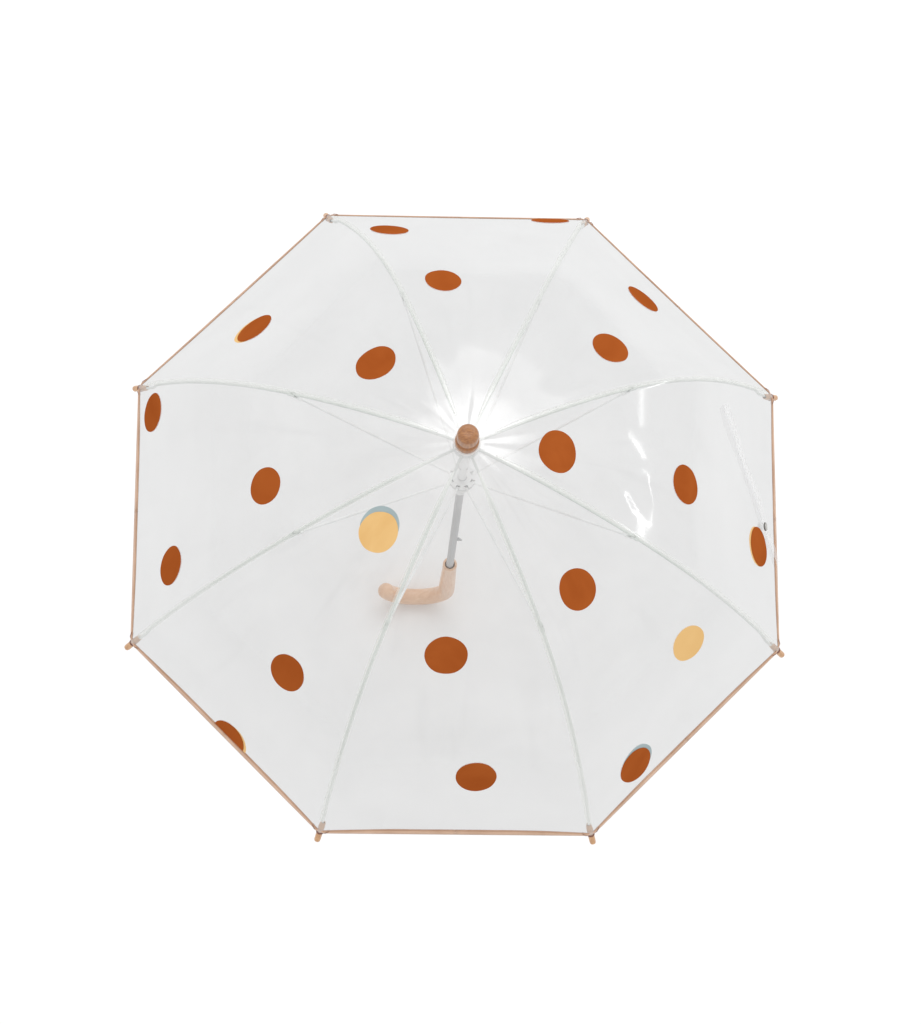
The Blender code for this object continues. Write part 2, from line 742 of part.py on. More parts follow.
def panel_mesh(name, rows):
    """Film over one rib out to the middle of the gores beside it, thickened outwards.

    rows is a list of (x, z, hem), with hem true in the bound edge.
    """
    across = (-1.0, 0.0, 1.0)
    shape = bmesh.new()
    grid = []
    for x, z, _ in rows:
        reach = x * math.sin(HALF_STEP) - GAP / 2
        inwards, sideways = reach * math.sin(HALF_STEP), reach * math.cos(HALF_STEP)
        places = [(x - abs(side) * inwards, side * sideways, z) for side in across]
        grid.append([shape.verts.new(corner) for corner in places])
    for low, high in zip(grid, grid[1:]):
        for i in range(len(across) - 1):
            shape.faces.new((low[i], high[i], high[i + 1], low[i + 1]))
    mesh = bpy.data.meshes.new(name)
    shape.to_mesh(mesh)
    shape.free()
    sheet = add_object(name, mesh, CUTTERS)
    group = sheet.vertex_groups.new(name="hem")
    for i, (_, _, hem) in enumerate(rows):
        weight = 1.0 if hem else FILM_THICKNESS / HEM_THICKNESS
        members = list(range(i * len(across), (i + 1) * len(across)))
        group.add(members, weight, "REPLACE")
    thick = sheet.modifiers.new("thickness", "SOLIDIFY")
    thick.thickness = HEM_THICKNESS
    thick.offset = 1.0
    thick.vertex_group = "hem"
    thick.use_even_offset = False
    return combine(name, sheet)


def canopy_inner_mesh():
    rows = [(FILM_HOLE_RADIUS, FILM_UNDER_WASHER_Z, False)]
    steps = 9
    t_last = find_t(lambda t: dome_point(t).x - (JOINT_RADIUS - GAP / 2))
    for i in range(steps + 1):
        point = dome_point(t_last * i / steps)
        rows.append((point.x, point.y, False))
    return panel_mesh("canopy_inner", rows)


def canopy_outer_mesh():
    steps = 11
    t_first = find_t(lambda t: dome_point(t).x - (JOINT_RADIUS + GAP / 2))
    t_hem = t_from_rim(HEM_WIDTH)
    rows = []
    for i in range(steps + 1):
        point = dome_point(t_first + (t_hem - t_first) * i / steps)
        rows.append((point.x, point.y, False))
    for t in (t_hem + 0.003, 1.0):
        point = dome_point(t)
        rows.append((point.x, point.y, True))
    return panel_mesh("canopy_outer", rows)


def make_press_stud():
    """The closure's snap button, just over the film near the hem, between two ribs."""
    t = t_from_rim(STUD_FROM_HEM)
    point = dome_point(t) + dome_normal(t) * (2 * FILM_THICKNESS + GAP)
    x = point.x * math.cos(HALF_STEP) + FILM_THICKNESS
    y = point.x * math.sin(HALF_STEP) * (2 * STUD_ACROSS - 1)
    cap = turned(
        "press_stud",
        [
            (0, STUD_HEIGHT),
            (STUD_TOP_RADIUS, STUD_HEIGHT),
            (STUD_STEP_RADIUS, STUD_HEIGHT * 0.6),
            (STUD_STEP_RADIUS + STUD_STEP_WIDTH, STUD_HEIGHT * 0.6),
            (STUD_RADIUS, STUD_HEIGHT * 0.25),
            (STUD_RADIUS, 0),
            (0, 0),
        ],
        sides=16,
    )
    gore_normal = Vector((dome_normal(t).x / math.cos(HALF_STEP), dome_normal(t).y))
    lean = math.atan2(gore_normal.x, gore_normal.y)
    cap.matrix_world = Matrix.Translation((x, y, point.y)) @ Matrix.Rotation(lean, 4, "Y")
    place("press_stud", combine("press_stud", cap), STEEL)


def make_sectors():
    """Eight copies of the link set and its film, one for each rib."""
    shared = [
        ("rib_inner", about(rib_inner_mesh(), CROWN_PIVOT), CROWN_PIVOT, WHITE_PAINT),
        ("rib_outer", about(rib_outer_mesh(), FLEX_PIVOT), FLEX_PIVOT, WHITE_PAINT),
        ("stretcher", about(stretcher_mesh(), STRETCHER_PIVOT), STRETCHER_PIVOT, WHITE_PAINT),
        ("tip", about(tip_mesh(), FLEX_PIVOT), FLEX_PIVOT, BEECH),
        ("canopy_inner", about(canopy_inner_mesh(), CROWN_PIVOT), CROWN_PIVOT, CLEAR_FILM),
        ("canopy_outer", about(canopy_outer_mesh(), FLEX_PIVOT), FLEX_PIVOT, CLEAR_FILM),
    ]
    for i in range(RIB_COUNT):
        azimuth = HALF_STEP + i * RIB_STEP
        for name, mesh, origin, finish in shared:
            place(f"{name}_{i + 1}", mesh, finish, origin=origin, azimuth=azimuth)


make_handle()
make_shaft()
make_stop_pin()
make_crown()
wire_ring("crown_wire", CROWN_Z)
make_top_washer()
make_ferrule()
make_runner()
wire_ring("runner_wire", RUNNER_Z)
make_catch("lower_catch", LOWER_FLAT_Z, 1)
make_catch("upper_catch", UPPER_FLAT_Z, -1)
make_sectors()
make_press_stud()
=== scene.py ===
"""Looks of the clear dome umbrella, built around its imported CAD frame."""

import math

import bmesh
import bpy
import numpy as np
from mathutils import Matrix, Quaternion, Vector, noise

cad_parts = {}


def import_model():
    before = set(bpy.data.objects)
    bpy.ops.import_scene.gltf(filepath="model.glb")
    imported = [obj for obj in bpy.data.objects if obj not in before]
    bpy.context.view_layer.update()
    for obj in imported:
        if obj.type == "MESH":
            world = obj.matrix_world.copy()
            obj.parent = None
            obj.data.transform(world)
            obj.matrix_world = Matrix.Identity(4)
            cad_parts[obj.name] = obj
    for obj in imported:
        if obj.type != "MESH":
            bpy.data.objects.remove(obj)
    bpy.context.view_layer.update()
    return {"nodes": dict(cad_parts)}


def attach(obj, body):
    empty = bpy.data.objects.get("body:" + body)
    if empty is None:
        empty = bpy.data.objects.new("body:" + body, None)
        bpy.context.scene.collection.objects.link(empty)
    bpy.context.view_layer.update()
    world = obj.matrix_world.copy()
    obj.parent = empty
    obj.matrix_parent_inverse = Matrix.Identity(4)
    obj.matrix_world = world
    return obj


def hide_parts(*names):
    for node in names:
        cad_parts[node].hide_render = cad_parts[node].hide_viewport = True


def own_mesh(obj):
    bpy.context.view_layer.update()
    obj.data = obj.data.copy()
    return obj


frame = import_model()

# The dome, as in the CAD: ribs numbered from azimuth 22.5 degrees, gore k from rib k to rib k + 1
RIBS = 8
HALF_STEP = math.pi / RIBS
RIM_Z = 0.235
DOME = np.array([(0.012, 0.2545), (0.192, 0.2217), (0.273, 0.155), (0.355, 0.0)])
JOINT_RADIUS = 0.179
# Sideways bow of each rib's line, in metres, clockwise as seen from above
BOWS = (-0.0086, 0.0044, 0.0092, -0.0038, -0.0074, 0.0060, -0.0056, 0.0064)

FILM_SAG = 0.0030
# The film's folds and ripples fade out over this share of its length before the hem
HEM_FADE = 0.12
# Where the film leaves the washer, and the hole that it has for the shaft
CAP_T = 0.012
CAP_HOLE_RADIUS, CAP_HOLE_Z = 0.0066, 0.4893
# Share of its width that the film keeps round a folded rib
KEEP_INNER = 0.20
KEEP_OUTER = 0.13
# The film's U runs on by this much from one gore to the next
UV_PER_GORE = 0.16


# Shape of the film


def dome(t):
    """Radius and height of the film over a rib, for an array of t from hub to rim."""
    t = np.asarray(t, float)[..., None]
    s = 1 - t
    p = s**3 * DOME[0] + 3 * s * s * t * DOME[1] + 3 * s * t * t * DOME[2] + t**3 * DOME[3]
    return p[..., 0], p[..., 1] + RIM_Z


T_TABLE = np.linspace(0, 1, 801)
R_TABLE, Z_TABLE = dome(T_TABLE)
ARC_TABLE = np.concatenate([[0], np.cumsum(np.hypot(np.diff(R_TABLE), np.diff(Z_TABLE)))])
T_JOINT = float(np.interp(JOINT_RADIUS, R_TABLE, T_TABLE))
# Between the ribs the film is divided a little farther out
T_JOINT_MID = T_JOINT + 0.055


def azimuth(k):
    return HALF_STEP + (k - 1) * 2 * HALF_STEP


def outward(k):
    """Unit vector from the shaft towards rib k."""
    a = azimuth(k)
    return np.array([math.cos(a), math.sin(a), 0.0])


def clockwise(k):
    """Unit vector across rib k, clockwise as seen from above."""
    a = azimuth(k)
    return np.array([math.sin(a), -math.cos(a), 0.0])


def before(k):
    return (k - 2) % RIBS + 1


def after(k):
    return k % RIBS + 1


def rib_line(k, t):
    """Points of the film over rib k, with the rib's bow."""
    t = np.asarray(t, float)
    r, z = dome(t)
    bow = BOWS[k - 1] * np.sin(math.pi * t)
    side = r[..., None] * outward(k) + bow[..., None] * clockwise(k)
    return side + z[..., None] * np.array([0, 0, 1.0])


def chord(gore, u, t):
    """Points on the straight line across a gore, from u = 0 at its first rib to u = 1 at the next."""
    a, b = rib_line(gore, t), rib_line(after(gore), t)
    return a + (b - a) * np.asarray(u, float)[..., None]


# Folds pressed into the film: gore, (u, t) at each end, half-width and height in metres
FOLDS = [
    (8, (0.62, 0.30), (0.50, 0.50), 0.0035, 0.0016),
    (8, (0.70, 0.36), (0.56, 0.55), 0.0045, -0.0018),
    (8, (0.42, 0.42), (0.22, 0.47), 0.0040, 0.0018),
    (8, (0.30, 0.36), (0.12, 0.44), 0.0030, -0.0012),
    (8, (0.36, 0.30), (0.16, 0.38), 0.0030, 0.0012),
    (8, (0.85, 0.10), (0.55, 0.28), 0.0040, 0.0014),
    (8, (0.15, 0.12), (0.45, 0.22), 0.0035, 0.0012),
    (8, (0.72, 0.62), (0.50, 0.93), 0.0070, 0.0020),
    (7, (0.80, 0.15), (0.86, 0.42), 0.0040, 0.0016),
    (7, (0.70, 0.12), (0.72, 0.36), 0.0045, -0.0014),
    (7, (0.30, 0.22), (0.22, 0.46), 0.0050, 0.0012),
    (1, (0.18, 0.16), (0.12, 0.44), 0.0040, 0.0012),
    (1, (0.30, 0.86), (0.55, 0.97), 0.0060, 0.0012),
    (3, (0.30, 0.05), (0.22, 0.24), 0.0040, 0.0014),
    (3, (0.65, 0.05), (0.80, 0.30), 0.0045, -0.0014),
    (3, (0.48, 0.05), (0.50, 0.18), 0.0035, 0.0012),
    (4, (0.20, 0.06), (0.10, 0.30), 0.0045, 0.0016),
    (4, (0.40, 0.06), (0.28, 0.22), 0.0035, -0.0012),
    (2, (0.20, 0.70), (0.40, 0.84), 0.0070, 0.0010),
    (6, (0.40, 0.10), (0.45, 0.30), 0.0040, 0.0010),
    (5, (0.75, 0.08), (0.70, 0.26), 0.0040, 0.0010),
]
# Every fold's height and half-width are scaled by these
FOLD_GAIN, FOLD_SPREAD = 0.8, 1.8


def arc(t):
    """Length along the film from the hub."""
    return np.interp(t, T_TABLE, ARC_TABLE)


def gore_width(t):
    """Straight width of a gore."""
    r, _ = dome(t)
    return 2 * r * math.sin(HALF_STEP)


def folds(gore, u, t):
    """Height of the pressed folds, measured on the gore laid flat."""
    height = np.zeros(np.broadcast(u, t).shape)
    x, y = (np.asarray(u) - 0.5) * gore_width(t), arc(t)
    for where, start, end, half_width, rise in FOLDS:
        if where != gore:
            continue
        ends = [((p[0] - 0.5) * float(gore_width(p[1])), float(arc(p[1]))) for p in (start, end)]
        (x0, y0), (x1, y1) = ends
        dx, dy = x1 - x0, y1 - y0
        length = math.hypot(dx, dy)
        along = ((x - x0) * dx + (y - y0) * dy) / length**2
        across = ((x - x0) * dy - (y - y0) * dx) / length
        taper = np.clip(4 * along * (1 - along), 0, 1)
        height += rise * taper * np.exp(-((across / (FOLD_SPREAD * half_width)) ** 2))
    return height


WAVE_HEIGHT, CREASE_HEIGHT, CREASE_REACH = 0.0022, 0.0016, 0.075


def ripples(gore, u, t):
    """Creases that run out from the crown, and slow waves over the whole film."""
    u, t = np.broadcast_arrays(np.asarray(u, float), np.asarray(t, float))
    s = arc(t)
    out = np.zeros(u.shape)
    for index in np.ndindex(u.shape):
        a, b = u[index] + gore, s[index]
        slow = noise.noise(Vector((a * 1.9, b * 8.0, 3.1)))
        radial = noise.noise(Vector((a * 4.0, b * 4.0, 8.7)))
        near = math.exp(-b / CREASE_REACH) * min(1.0, b / 0.02)
        out[index] = WAVE_HEIGHT * slow * min(1.0, b / 0.10) + CREASE_HEIGHT * radial * near
    return out


def film_surface(gore, u, t, lift=0.0):
    """Points and unit normals of the film over a gore, raised by lift."""
    u, t = np.broadcast_arrays(np.asarray(u, float), np.asarray(t, float))
    step = 1e-3
    low, high = np.clip(t - step, 0, 1), np.clip(t + step, 0, 1)
    along = chord(gore, u, high) - chord(gore, u, low)
    across = chord(gore, u + step, t) - chord(gore, u - step, t)
    normal = np.cross(along, across)
    normal /= np.linalg.norm(normal, axis=-1, keepdims=True)
    normal[normal[..., 2] < 0] *= -1
    belly = 4 * u * (1 - u)
    edge = np.clip((1 - t) / HEM_FADE, 0, 1)
    height = -FILM_SAG * belly * np.sin(math.pi * t)
    height = height + belly * (folds(gore, u, t) * FOLD_GAIN + ripples(gore, u, t)) * edge
    return chord(gore, u, t) + normal * (height + lift)[..., None], normal


def split_t(u):
    """Where the film is divided between the rib's two parts."""
    reach = 2 * np.minimum(u, 1 - u)
    return T_JOINT + (T_JOINT_MID - T_JOINT) * reach


# Making pieces


LOOKS = bpy.data.collections.new("looks")
bpy.context.scene.collection.children.link(LOOKS)


def add_mesh(name, points, faces, materials, smooth=True, uvs=None, face_materials=None):
    mesh = bpy.data.meshes.new(name)
    mesh.from_pydata([tuple(map(float, p)) for p in points], [], faces)
    for finish in materials:
        mesh.materials.append(finish)
    if uvs is not None:
        layer = mesh.uv_layers.new(name="UVMap")
        for loop in mesh.loops:
            layer.data[loop.index].uv = uvs[loop.vertex_index]
    if face_materials is not None:
        mesh.polygons.foreach_set("material_index", face_materials)
    mesh.polygons.foreach_set("use_smooth", [smooth] * len(mesh.polygons))
    mesh.update()
    made = bpy.data.objects.new(name, mesh)
    LOOKS.objects.link(made)
    return made


def grid_faces(rows, columns, wrap=False):
    """Faces of a grid of points; wrap joins the last column to the first."""
    last = columns if wrap else columns - 1
    faces = []
    for i in range(rows - 1):
        for j in range(last):
            a, b = i * columns + j, i * columns + (j + 1) % columns
            faces.append((a, b, b + columns, a + columns))
    return faces


def end_faces(rings, sides):
    """The two flat ends of a form made of rings."""
    return [tuple(reversed(range(sides))), tuple(range((rings - 1) * sides, rings * sides))]


def mend(piece, open_sides=0, outwards=True, sharp=None):
    """Fill open ends with this many sides, turn faces outwards, and shade edges over an angle as sharp."""
    shape = bmesh.new()
    shape.from_mesh(piece.data)
    if open_sides:
        bmesh.ops.holes_fill(shape, edges=shape.edges, sides=open_sides)
    if outwards:
        bmesh.ops.recalc_face_normals(shape, faces=shape.faces)
    shape.to_mesh(piece.data)
    shape.free()
    if sharp is not None:
        piece.data.set_sharp_from_angle(angle=math.radians(sharp))


# Materials


def blank(name):
    """A new material, its nodes, links and shader."""
    finish = bpy.data.materials.new(name)
    finish.use_nodes = True
    nodes = finish.node_tree.nodes
    return finish, nodes, finish.node_tree.links, nodes["Principled BSDF"]


def node(nodes, kind, **values):
    """A new node. A value whose name starts with an underscore sets an input, any other sets a property."""
    made = nodes.new(kind)
    for key, value in values.items():
        if key.startswith("_"):
            made.inputs[key[1:].replace("_", " ")].default_value = value
        else:
            setattr(made, key, value)
    return made


def coords(nodes, links, kind, scale):
    where = node(nodes, "ShaderNodeTexCoord")
    mapping = node(nodes, "ShaderNodeMapping")
    mapping.inputs["Scale"].default_value = scale
    links.new(where.outputs[kind], mapping.inputs["Vector"])
    return mapping.outputs["Vector"]


def texture(nodes, links, vector, kind="ShaderNodeTexNoise", **values):
    made = node(nodes, kind, **values)
    links.new(vector, made.inputs["Vector"])
    return made.outputs[0]


def ramp(nodes, links, value, stops):
    made = node(nodes, "ShaderNodeValToRGB")
    elements = made.color_ramp.elements
    while len(elements) < len(stops):
        elements.new(0.5)
    for element, (place, color) in zip(elements, stops):
        element.position = place
        element.color = (*color, 1.0)
    links.new(value, made.inputs["Fac"])
    return made.outputs["Color"]


def spread(nodes, links, value, low, high, start=0.0, end=1.0):
    """A value mapped from start and end to low and high, and held between them."""
    made = node(nodes, "ShaderNodeMapRange", _From_Min=start, _From_Max=end, _To_Min=low, _To_Max=high)
    links.new(value, made.inputs["Value"])
    return made.outputs["Result"]


def bump(nodes, links, value, shader, strength, distance):
    made = node(nodes, "ShaderNodeBump", _Strength=strength, _Distance=distance)
    links.new(value, made.inputs["Height"])
    links.new(made.outputs["Normal"], shader.inputs["Normal"])
    return made


def wood(name, light, dark, kind, scale):
    """Varnished beech: long grain, short dark flecks, and soft patches of tone."""
    finish, nodes, links, shader = blank(name)
    vector = coords(nodes, links, kind, scale)
    grain = texture(nodes, links, vector, _Scale=1.0, _Detail=6.0, _Roughness=0.62, _Distortion=0.7)
    middle = tuple((a + b) / 2 for a, b in zip(light, dark))
    color = ramp(nodes, links, grain, [(0.30, dark), (0.47, middle), (0.68, light)])
    links.new(color, shader.inputs["Base Color"])
    links.new(spread(nodes, links, grain, 0.42, 0.26), shader.inputs["Roughness"])
    shader.inputs["Coat Weight"].default_value = 0.35
    shader.inputs["Coat Roughness"].default_value = 0.18
    bump(nodes, links, grain, shader, 0.15, 0.0003)
    return finish


def moulded(name, color, roughness, grain=900.0, glare_white_above=None):
    """Paint or plastic: fine orange-peel, uneven gloss, and, above a height if one is given, a painted
    highlight in white for the glare round the crown.
    """
    finish, nodes, links, shader = blank(name)
    vector = coords(nodes, links, "Object", (1, 1, 1))
    fine = texture(nodes, links, vector, _Scale=grain, _Detail=2.0)
    broad = texture(nodes, links, vector, _Scale=60.0, _Detail=3.0)
    darker = tuple(c * 0.93 for c in color)
    tone = ramp(nodes, links, broad, [(0.35, darker), (0.65, color)])
    if glare_white_above is not None:
        # Painted highlight: white above the height, for the glare that lies over the shaft under the crown
        height = node(nodes, "ShaderNodeSeparateXYZ")
        links.new(vector, height.inputs["Vector"])
        above = spread(nodes, links, height.outputs["Z"], 0.0, 1.0, glare_white_above, glare_white_above + 0.001)
        tone = ramp(nodes, links, above, [(0.0, color), (1.0, (0.88, 0.88, 0.87))])
    links.new(tone, shader.inputs["Base Color"])
    uneven = spread(nodes, links, broad, roughness - 0.06, roughness + 0.08)
    links.new(uneven, shader.inputs["Roughness"])
    bump(nodes, links, fine, shader, 0.2, 0.00004)
    return finish


def steel(name, dark=(0.36, 0.35, 0.33), light=(0.62, 0.61, 0.58)):
    finish, nodes, links, shader = blank(name)
    vector = coords(nodes, links, "Object", (300, 300, 2200))
    brushed = texture(nodes, links, vector, _Scale=1.0, _Detail=4.0)
    color = ramp(nodes, links, brushed, [(0.3, dark), (0.7, light)])
    links.new(color, shader.inputs["Base Color"])
    links.new(spread(nodes, links, brushed, 0.22, 0.42), shader.inputs["Roughness"])
    shader.inputs["Metallic"].default_value = 1.0
    bump(nodes, links, brushed, shader, 0.1, 0.00005)
    return finish


def blend_shaders(nodes, links, share, first, second):
    """Mix two shaders; share is a number or a socket, 0 for the first and 1 for the second."""
    mixed = node(nodes, "ShaderNodeMixShader")
    if isinstance(share, float):
        mixed.inputs["Fac"].default_value = share
    else:
        links.new(share, mixed.inputs["Fac"])
    links.new(first, mixed.inputs[1])
    links.new(second, mixed.inputs[2])
    return mixed.outputs[0]


def add_up(nodes, links, *values):
    """Sum of sockets, kept between 0 and 1."""
    total = values[0]
    for value in values[1:]:
        made = node(nodes, "ShaderNodeMath", operation="ADD", use_clamp=True)
        links.new(total, made.inputs[0])
        links.new(value, made.inputs[1])
        total = made.outputs[0]
    return total


# Lengths from the hub at which the film stops being wholly milky and is clear, and how ragged that edge is
MILKY_FROM, MILKY_TO, MILKY_RAGGED = 0.024, 0.105, 0.045
# The crown's film: extra haze where the milk is full, then its tone, what it lets through and its sheen
CROWN_EXTRA_HAZE, CROWN_MILK = 0.34, 0.27
CROWN_TONE, CROWN_TINT, CROWN_SHEEN, CROWN_ROUGHNESS = 0.50, 0.96, 0.90, 0.26


def product(nodes, links, first, second):
    """Product of two sockets."""
    made = node(nodes, "ShaderNodeMath", operation="MULTIPLY")
    links.new(first, made.inputs[0])
    links.new(second, made.inputs[1])
    return made.outputs[0]


def crown_share(nodes, links, lumps):
    """1 at the crown and 0 from a few centimetres out, along a ragged edge; V runs out from the crown."""
    where = node(nodes, "ShaderNodeTexCoord")
    along = node(nodes, "ShaderNodeSeparateXYZ")
    links.new(where.outputs["UV"], along.inputs["Vector"])
    ragged = node(nodes, "ShaderNodeMath", operation="MULTIPLY_ADD")
    ragged.inputs[1].default_value = MILKY_RAGGED
    links.new(lumps, ragged.inputs[0])
    links.new(along.outputs["Y"], ragged.inputs[2])
    share = node(
        nodes, "ShaderNodeMapRange", interpolation_type="SMOOTHERSTEP",
        _From_Min=MILKY_FROM, _From_Max=MILKY_TO, _To_Min=1.0, _To_Max=0.0,
    )
    links.new(ragged.outputs[0], share.inputs["Value"])
    return share.outputs["Result"]


def clear_film(name, haze, haze_spread, tint, body, milk=0.0, gloss=0.10, shine_tone=0.80, relief=1.0):
    """Clear film: see-through, cloudy in patches and creases, milky and crumpled at the crown."""
    finish, nodes, links, shader = blank(name)
    flat = coords(nodes, links, "UV", (1, 1, 1))
    cloudy = texture(nodes, links, flat, _Scale=14.0, _Detail=4.0, _Roughness=0.55)
    crumpled = coords(nodes, links, "UV", (42, 8, 1))
    creases = texture(
        nodes, links, crumpled, _Scale=1.0, _Detail=3.0, _Roughness=0.5, _Distortion=0.6
    )
    place = coords(nodes, links, "Object", (1, 1, 1))
    lumps = texture(nodes, links, place, _Scale=38.0, _Detail=2.0, _Distortion=0.5)
    crown = crown_share(nodes, links, lumps)
    milky = product(nodes, links, crown, spread(nodes, links, lumps, 0.70 * milk, milk, 0.35, 0.60))
    amount = add_up(
        nodes, links,
        spread(nodes, links, cloudy, haze - haze_spread, haze + haze_spread, 0.3, 0.7),
        spread(nodes, links, creases, 0.0, haze_spread, 0.56, 0.74),
        spread(nodes, links, milky, 0.0, CROWN_EXTRA_HAZE, 0.0, CROWN_MILK),
    )

    pale = tuple(max(c, CROWN_TONE) for c in body)
    tone = ramp(nodes, links, crown, [(0.0, body), (1.0, pale)])
    links.new(tone, shader.inputs["Base Color"])
    shader.inputs["Roughness"].default_value = 0.35
    shader.inputs["Specular IOR Level"].default_value = 0.2
    through = node(nodes, "ShaderNodeBsdfTranslucent")
    links.new(tone, through.inputs["Color"])
    clear = node(nodes, "ShaderNodeBsdfTransparent")
    seen = ramp(nodes, links, crown, [(0.0, tint), (1.0, (CROWN_TINT,) * 3)])
    links.new(seen, clear.inputs["Color"])
    sheen = node(nodes, "ShaderNodeBsdfGlossy")
    bright = ramp(nodes, links, crown, [(0.0, (shine_tone,) * 3), (0.5, (CROWN_SHEEN,) * 3)])
    links.new(bright, sheen.inputs["Color"])
    links.new(spread(nodes, links, crown, gloss, CROWN_ROUGHNESS), sheen.inputs["Roughness"])

    fine = bump(nodes, links, creases, shader, 0.12 * relief, 0.0003)
    coarse = bump(nodes, links, product(nodes, links, crown, lumps), shader, 0.35 * relief, 0.0030)
    links.new(fine.outputs["Normal"], coarse.inputs["Normal"])
    links.new(coarse.outputs["Normal"], sheen.inputs["Normal"])
    facing = node(nodes, "ShaderNodeLayerWeight", _Blend=0.30)
    shine = add_up(
        nodes, links,
        spread(nodes, links, facing.outputs["Fresnel"], 0.03, 0.30, 0.02, 0.60), milky,
    )
    hazy = blend_shaders(nodes, links, 0.5, shader.outputs[0], through.outputs[0])
    film = blend_shaders(nodes, links, amount, clear.outputs[0], hazy)
    glossy = blend_shaders(nodes, links, shine, film, sheen.outputs[0])
    links.new(glossy, nodes["Material Output"].inputs["Surface"])
    return finish


def woven(name, light, dark, scale, tape=None):
    """Binding tape or thread: a fine twill with worn threads, and on a tape painted shade darkening its
    folded edges.
    """
    finish, nodes, links, shader = blank(name)
    vector = coords(nodes, links, "UV", (scale, scale, 1))
    threads = texture(
        nodes, links, vector, "ShaderNodeTexWave", _Scale=1.0, _Distortion=1.2, _Detail=1.0
    )
    patches = texture(nodes, links, coords(nodes, links, "UV", (26, 26, 1)), _Scale=1.0, _Detail=4.0)
    tone = ramp(nodes, links, patches, [(0.35, dark), (0.62, light)])
    mix = node(nodes, "ShaderNodeMix", data_type="RGBA", blend_type="MULTIPLY")
    mix.inputs["Factor"].default_value = 0.35
    links.new(tone, mix.inputs["A"])
    links.new(ramp(nodes, links, threads, [(0.2, (0.72, 0.7, 0.68)), (0.7, (1, 1, 1))]), mix.inputs["B"])
    cloth = mix.outputs["Result"]
    if tape:
        # Painted shade: the tape is darker towards both its folded edges
        parts = node(nodes, "ShaderNodeSeparateXYZ")
        links.new(coords(nodes, links, "UV", (1, 1, 1)), parts.inputs["Vector"])
        across = spread(nodes, links, parts.outputs["Y"], 0.0, 1.0, 0.0, tape)
        shade, plain = (0.55, 0.42, 0.38), (1.0, 1.0, 1.0)
        edges = ramp(nodes, links, across, [(0.0, shade), (0.22, plain), (0.76, plain), (0.98, shade)])
        trim = node(nodes, "ShaderNodeMix", data_type="RGBA", blend_type="MULTIPLY")
        trim.inputs["Factor"].default_value = 1.0
        links.new(cloth, trim.inputs["A"])
        links.new(edges, trim.inputs["B"])
        cloth = trim.outputs["Result"]
    links.new(cloth, shader.inputs["Base Color"])
    shader.inputs["Roughness"].default_value = 0.75
    shader.inputs["Sheen Weight"].default_value = 0.3
    bump(nodes, links, threads, shader, 0.5, 0.0002)
    return finish


def ink(name, color, deep):
    """Printed ink under a gloss: nearly flat colour with faint brushed variation."""
    finish, nodes, links, shader = blank(name)
    vector = coords(nodes, links, "UV", (1, 1, 1))
    tone = texture(nodes, links, vector, _Scale=18.0, _Detail=5.0, _Distortion=0.8)
    links.new(ramp(nodes, links, tone, [(0.3, deep), (0.7, color)]), shader.inputs["Base Color"])
    links.new(spread(nodes, links, tone, 0.20, 0.30), shader.inputs["Roughness"])
    shader.inputs["Specular IOR Level"].default_value = 0.0
    bump(nodes, links, tone, shader, 0.08, 0.0006)
    return finish


WOOD = wood("varnished_beech", (0.86, 0.60, 0.42), (0.71, 0.44, 0.29), "UV", (16, 3.0, 1))
WOOD_END = wood("ferrule_beech", (0.45, 0.20, 0.070), (0.22, 0.080, 0.028), "UV", (9, 26, 1))
WOOD_TIPS = wood("tip_beech", (0.64, 0.37, 0.18), (0.44, 0.22, 0.10), "Object", (420, 420, 120))
# The shaft's top, above the open runner, is white as a painted highlight for the glare under the crown
SHAFT_PAINT = moulded("shaft_paint", (0.52, 0.52, 0.52), 0.36, glare_white_above=0.372)
RIB_PAINT = moulded("rib_paint", (0.79, 0.82, 0.79), 0.36)
STRETCHER_PAINT = moulded("stretcher_paint", (0.97, 0.975, 0.965), 0.30)
PLASTIC = moulded("white_plastic_look", (0.90, 0.90, 0.89), 0.42, grain=700.0)
CATCH_PAINT = moulded("catch_paint", (0.50, 0.50, 0.50), 0.38)
STEEL = steel("plated_steel")
STUD_RIM = steel("stud_rim", (0.10, 0.10, 0.09), (0.22, 0.21, 0.20))
FILM = clear_film("clear_film_look", 0.20, 0.03, (0.880, 0.885, 0.885), (0.22, 0.225, 0.23), milk=0.21)
WELD = clear_film(
    "weld_look", 0.34, 0.02, (0.96, 0.965, 0.955), (0.90, 0.92, 0.88), milk=0.30, gloss=0.16
)
STRAP = clear_film(
    "strap_look", 0.03, 0.01, (0.988, 0.988, 0.988), (0.60, 0.61, 0.62),
    gloss=0.35, shine_tone=0.90, relief=0.1,
)
# V across the binding tape runs from 0 to this, and U along it by this much per gore
TAPE_V, TAPE_U = 0.011, 0.25
BINDING = woven("binding_tape", (0.74, 0.49, 0.34), (0.60, 0.37, 0.24), 900.0, tape=TAPE_V)
THREAD = woven("thread", (0.34, 0.13, 0.09), (0.20, 0.07, 0.05), 500.0)
BROWN = ink("brown_ink", (0.39, 0.098, 0.021), (0.33, 0.076, 0.015))
MUSTARD = ink("mustard_ink", (0.80, 0.52, 0.225), (0.74, 0.455, 0.18))
BLUE_GREY = ink("blue_grey_ink", (0.38, 0.46, 0.47), (0.33, 0.40, 0.41))
INKS = {"brown": BROWN, "mustard": MUSTARD, "blue": BLUE_GREY}


# The film over each rib, from the middle of one gore to the middle of the next


# Columns of faces over half a gore, and rows of points
ACROSS = 18
INNER_ROWS, OUTER_ROWS = 40, 64
# By part and rib: the film piece, its area, and the pieces that lie on it
SOFT = {}


def body_of(k, part):
    """The body that a film piece rides on, and the share of its width that it keeps when folded."""
    return (f"rib_{k}", KEEP_INNER) if part == "inner" else (f"rib_end_{k}", KEEP_OUTER)


def no_shade(piece):
    """Thin clear film lets the studio's soft light through to what is under it."""
    piece.visible_shadow = False
    piece.visible_diffuse = False


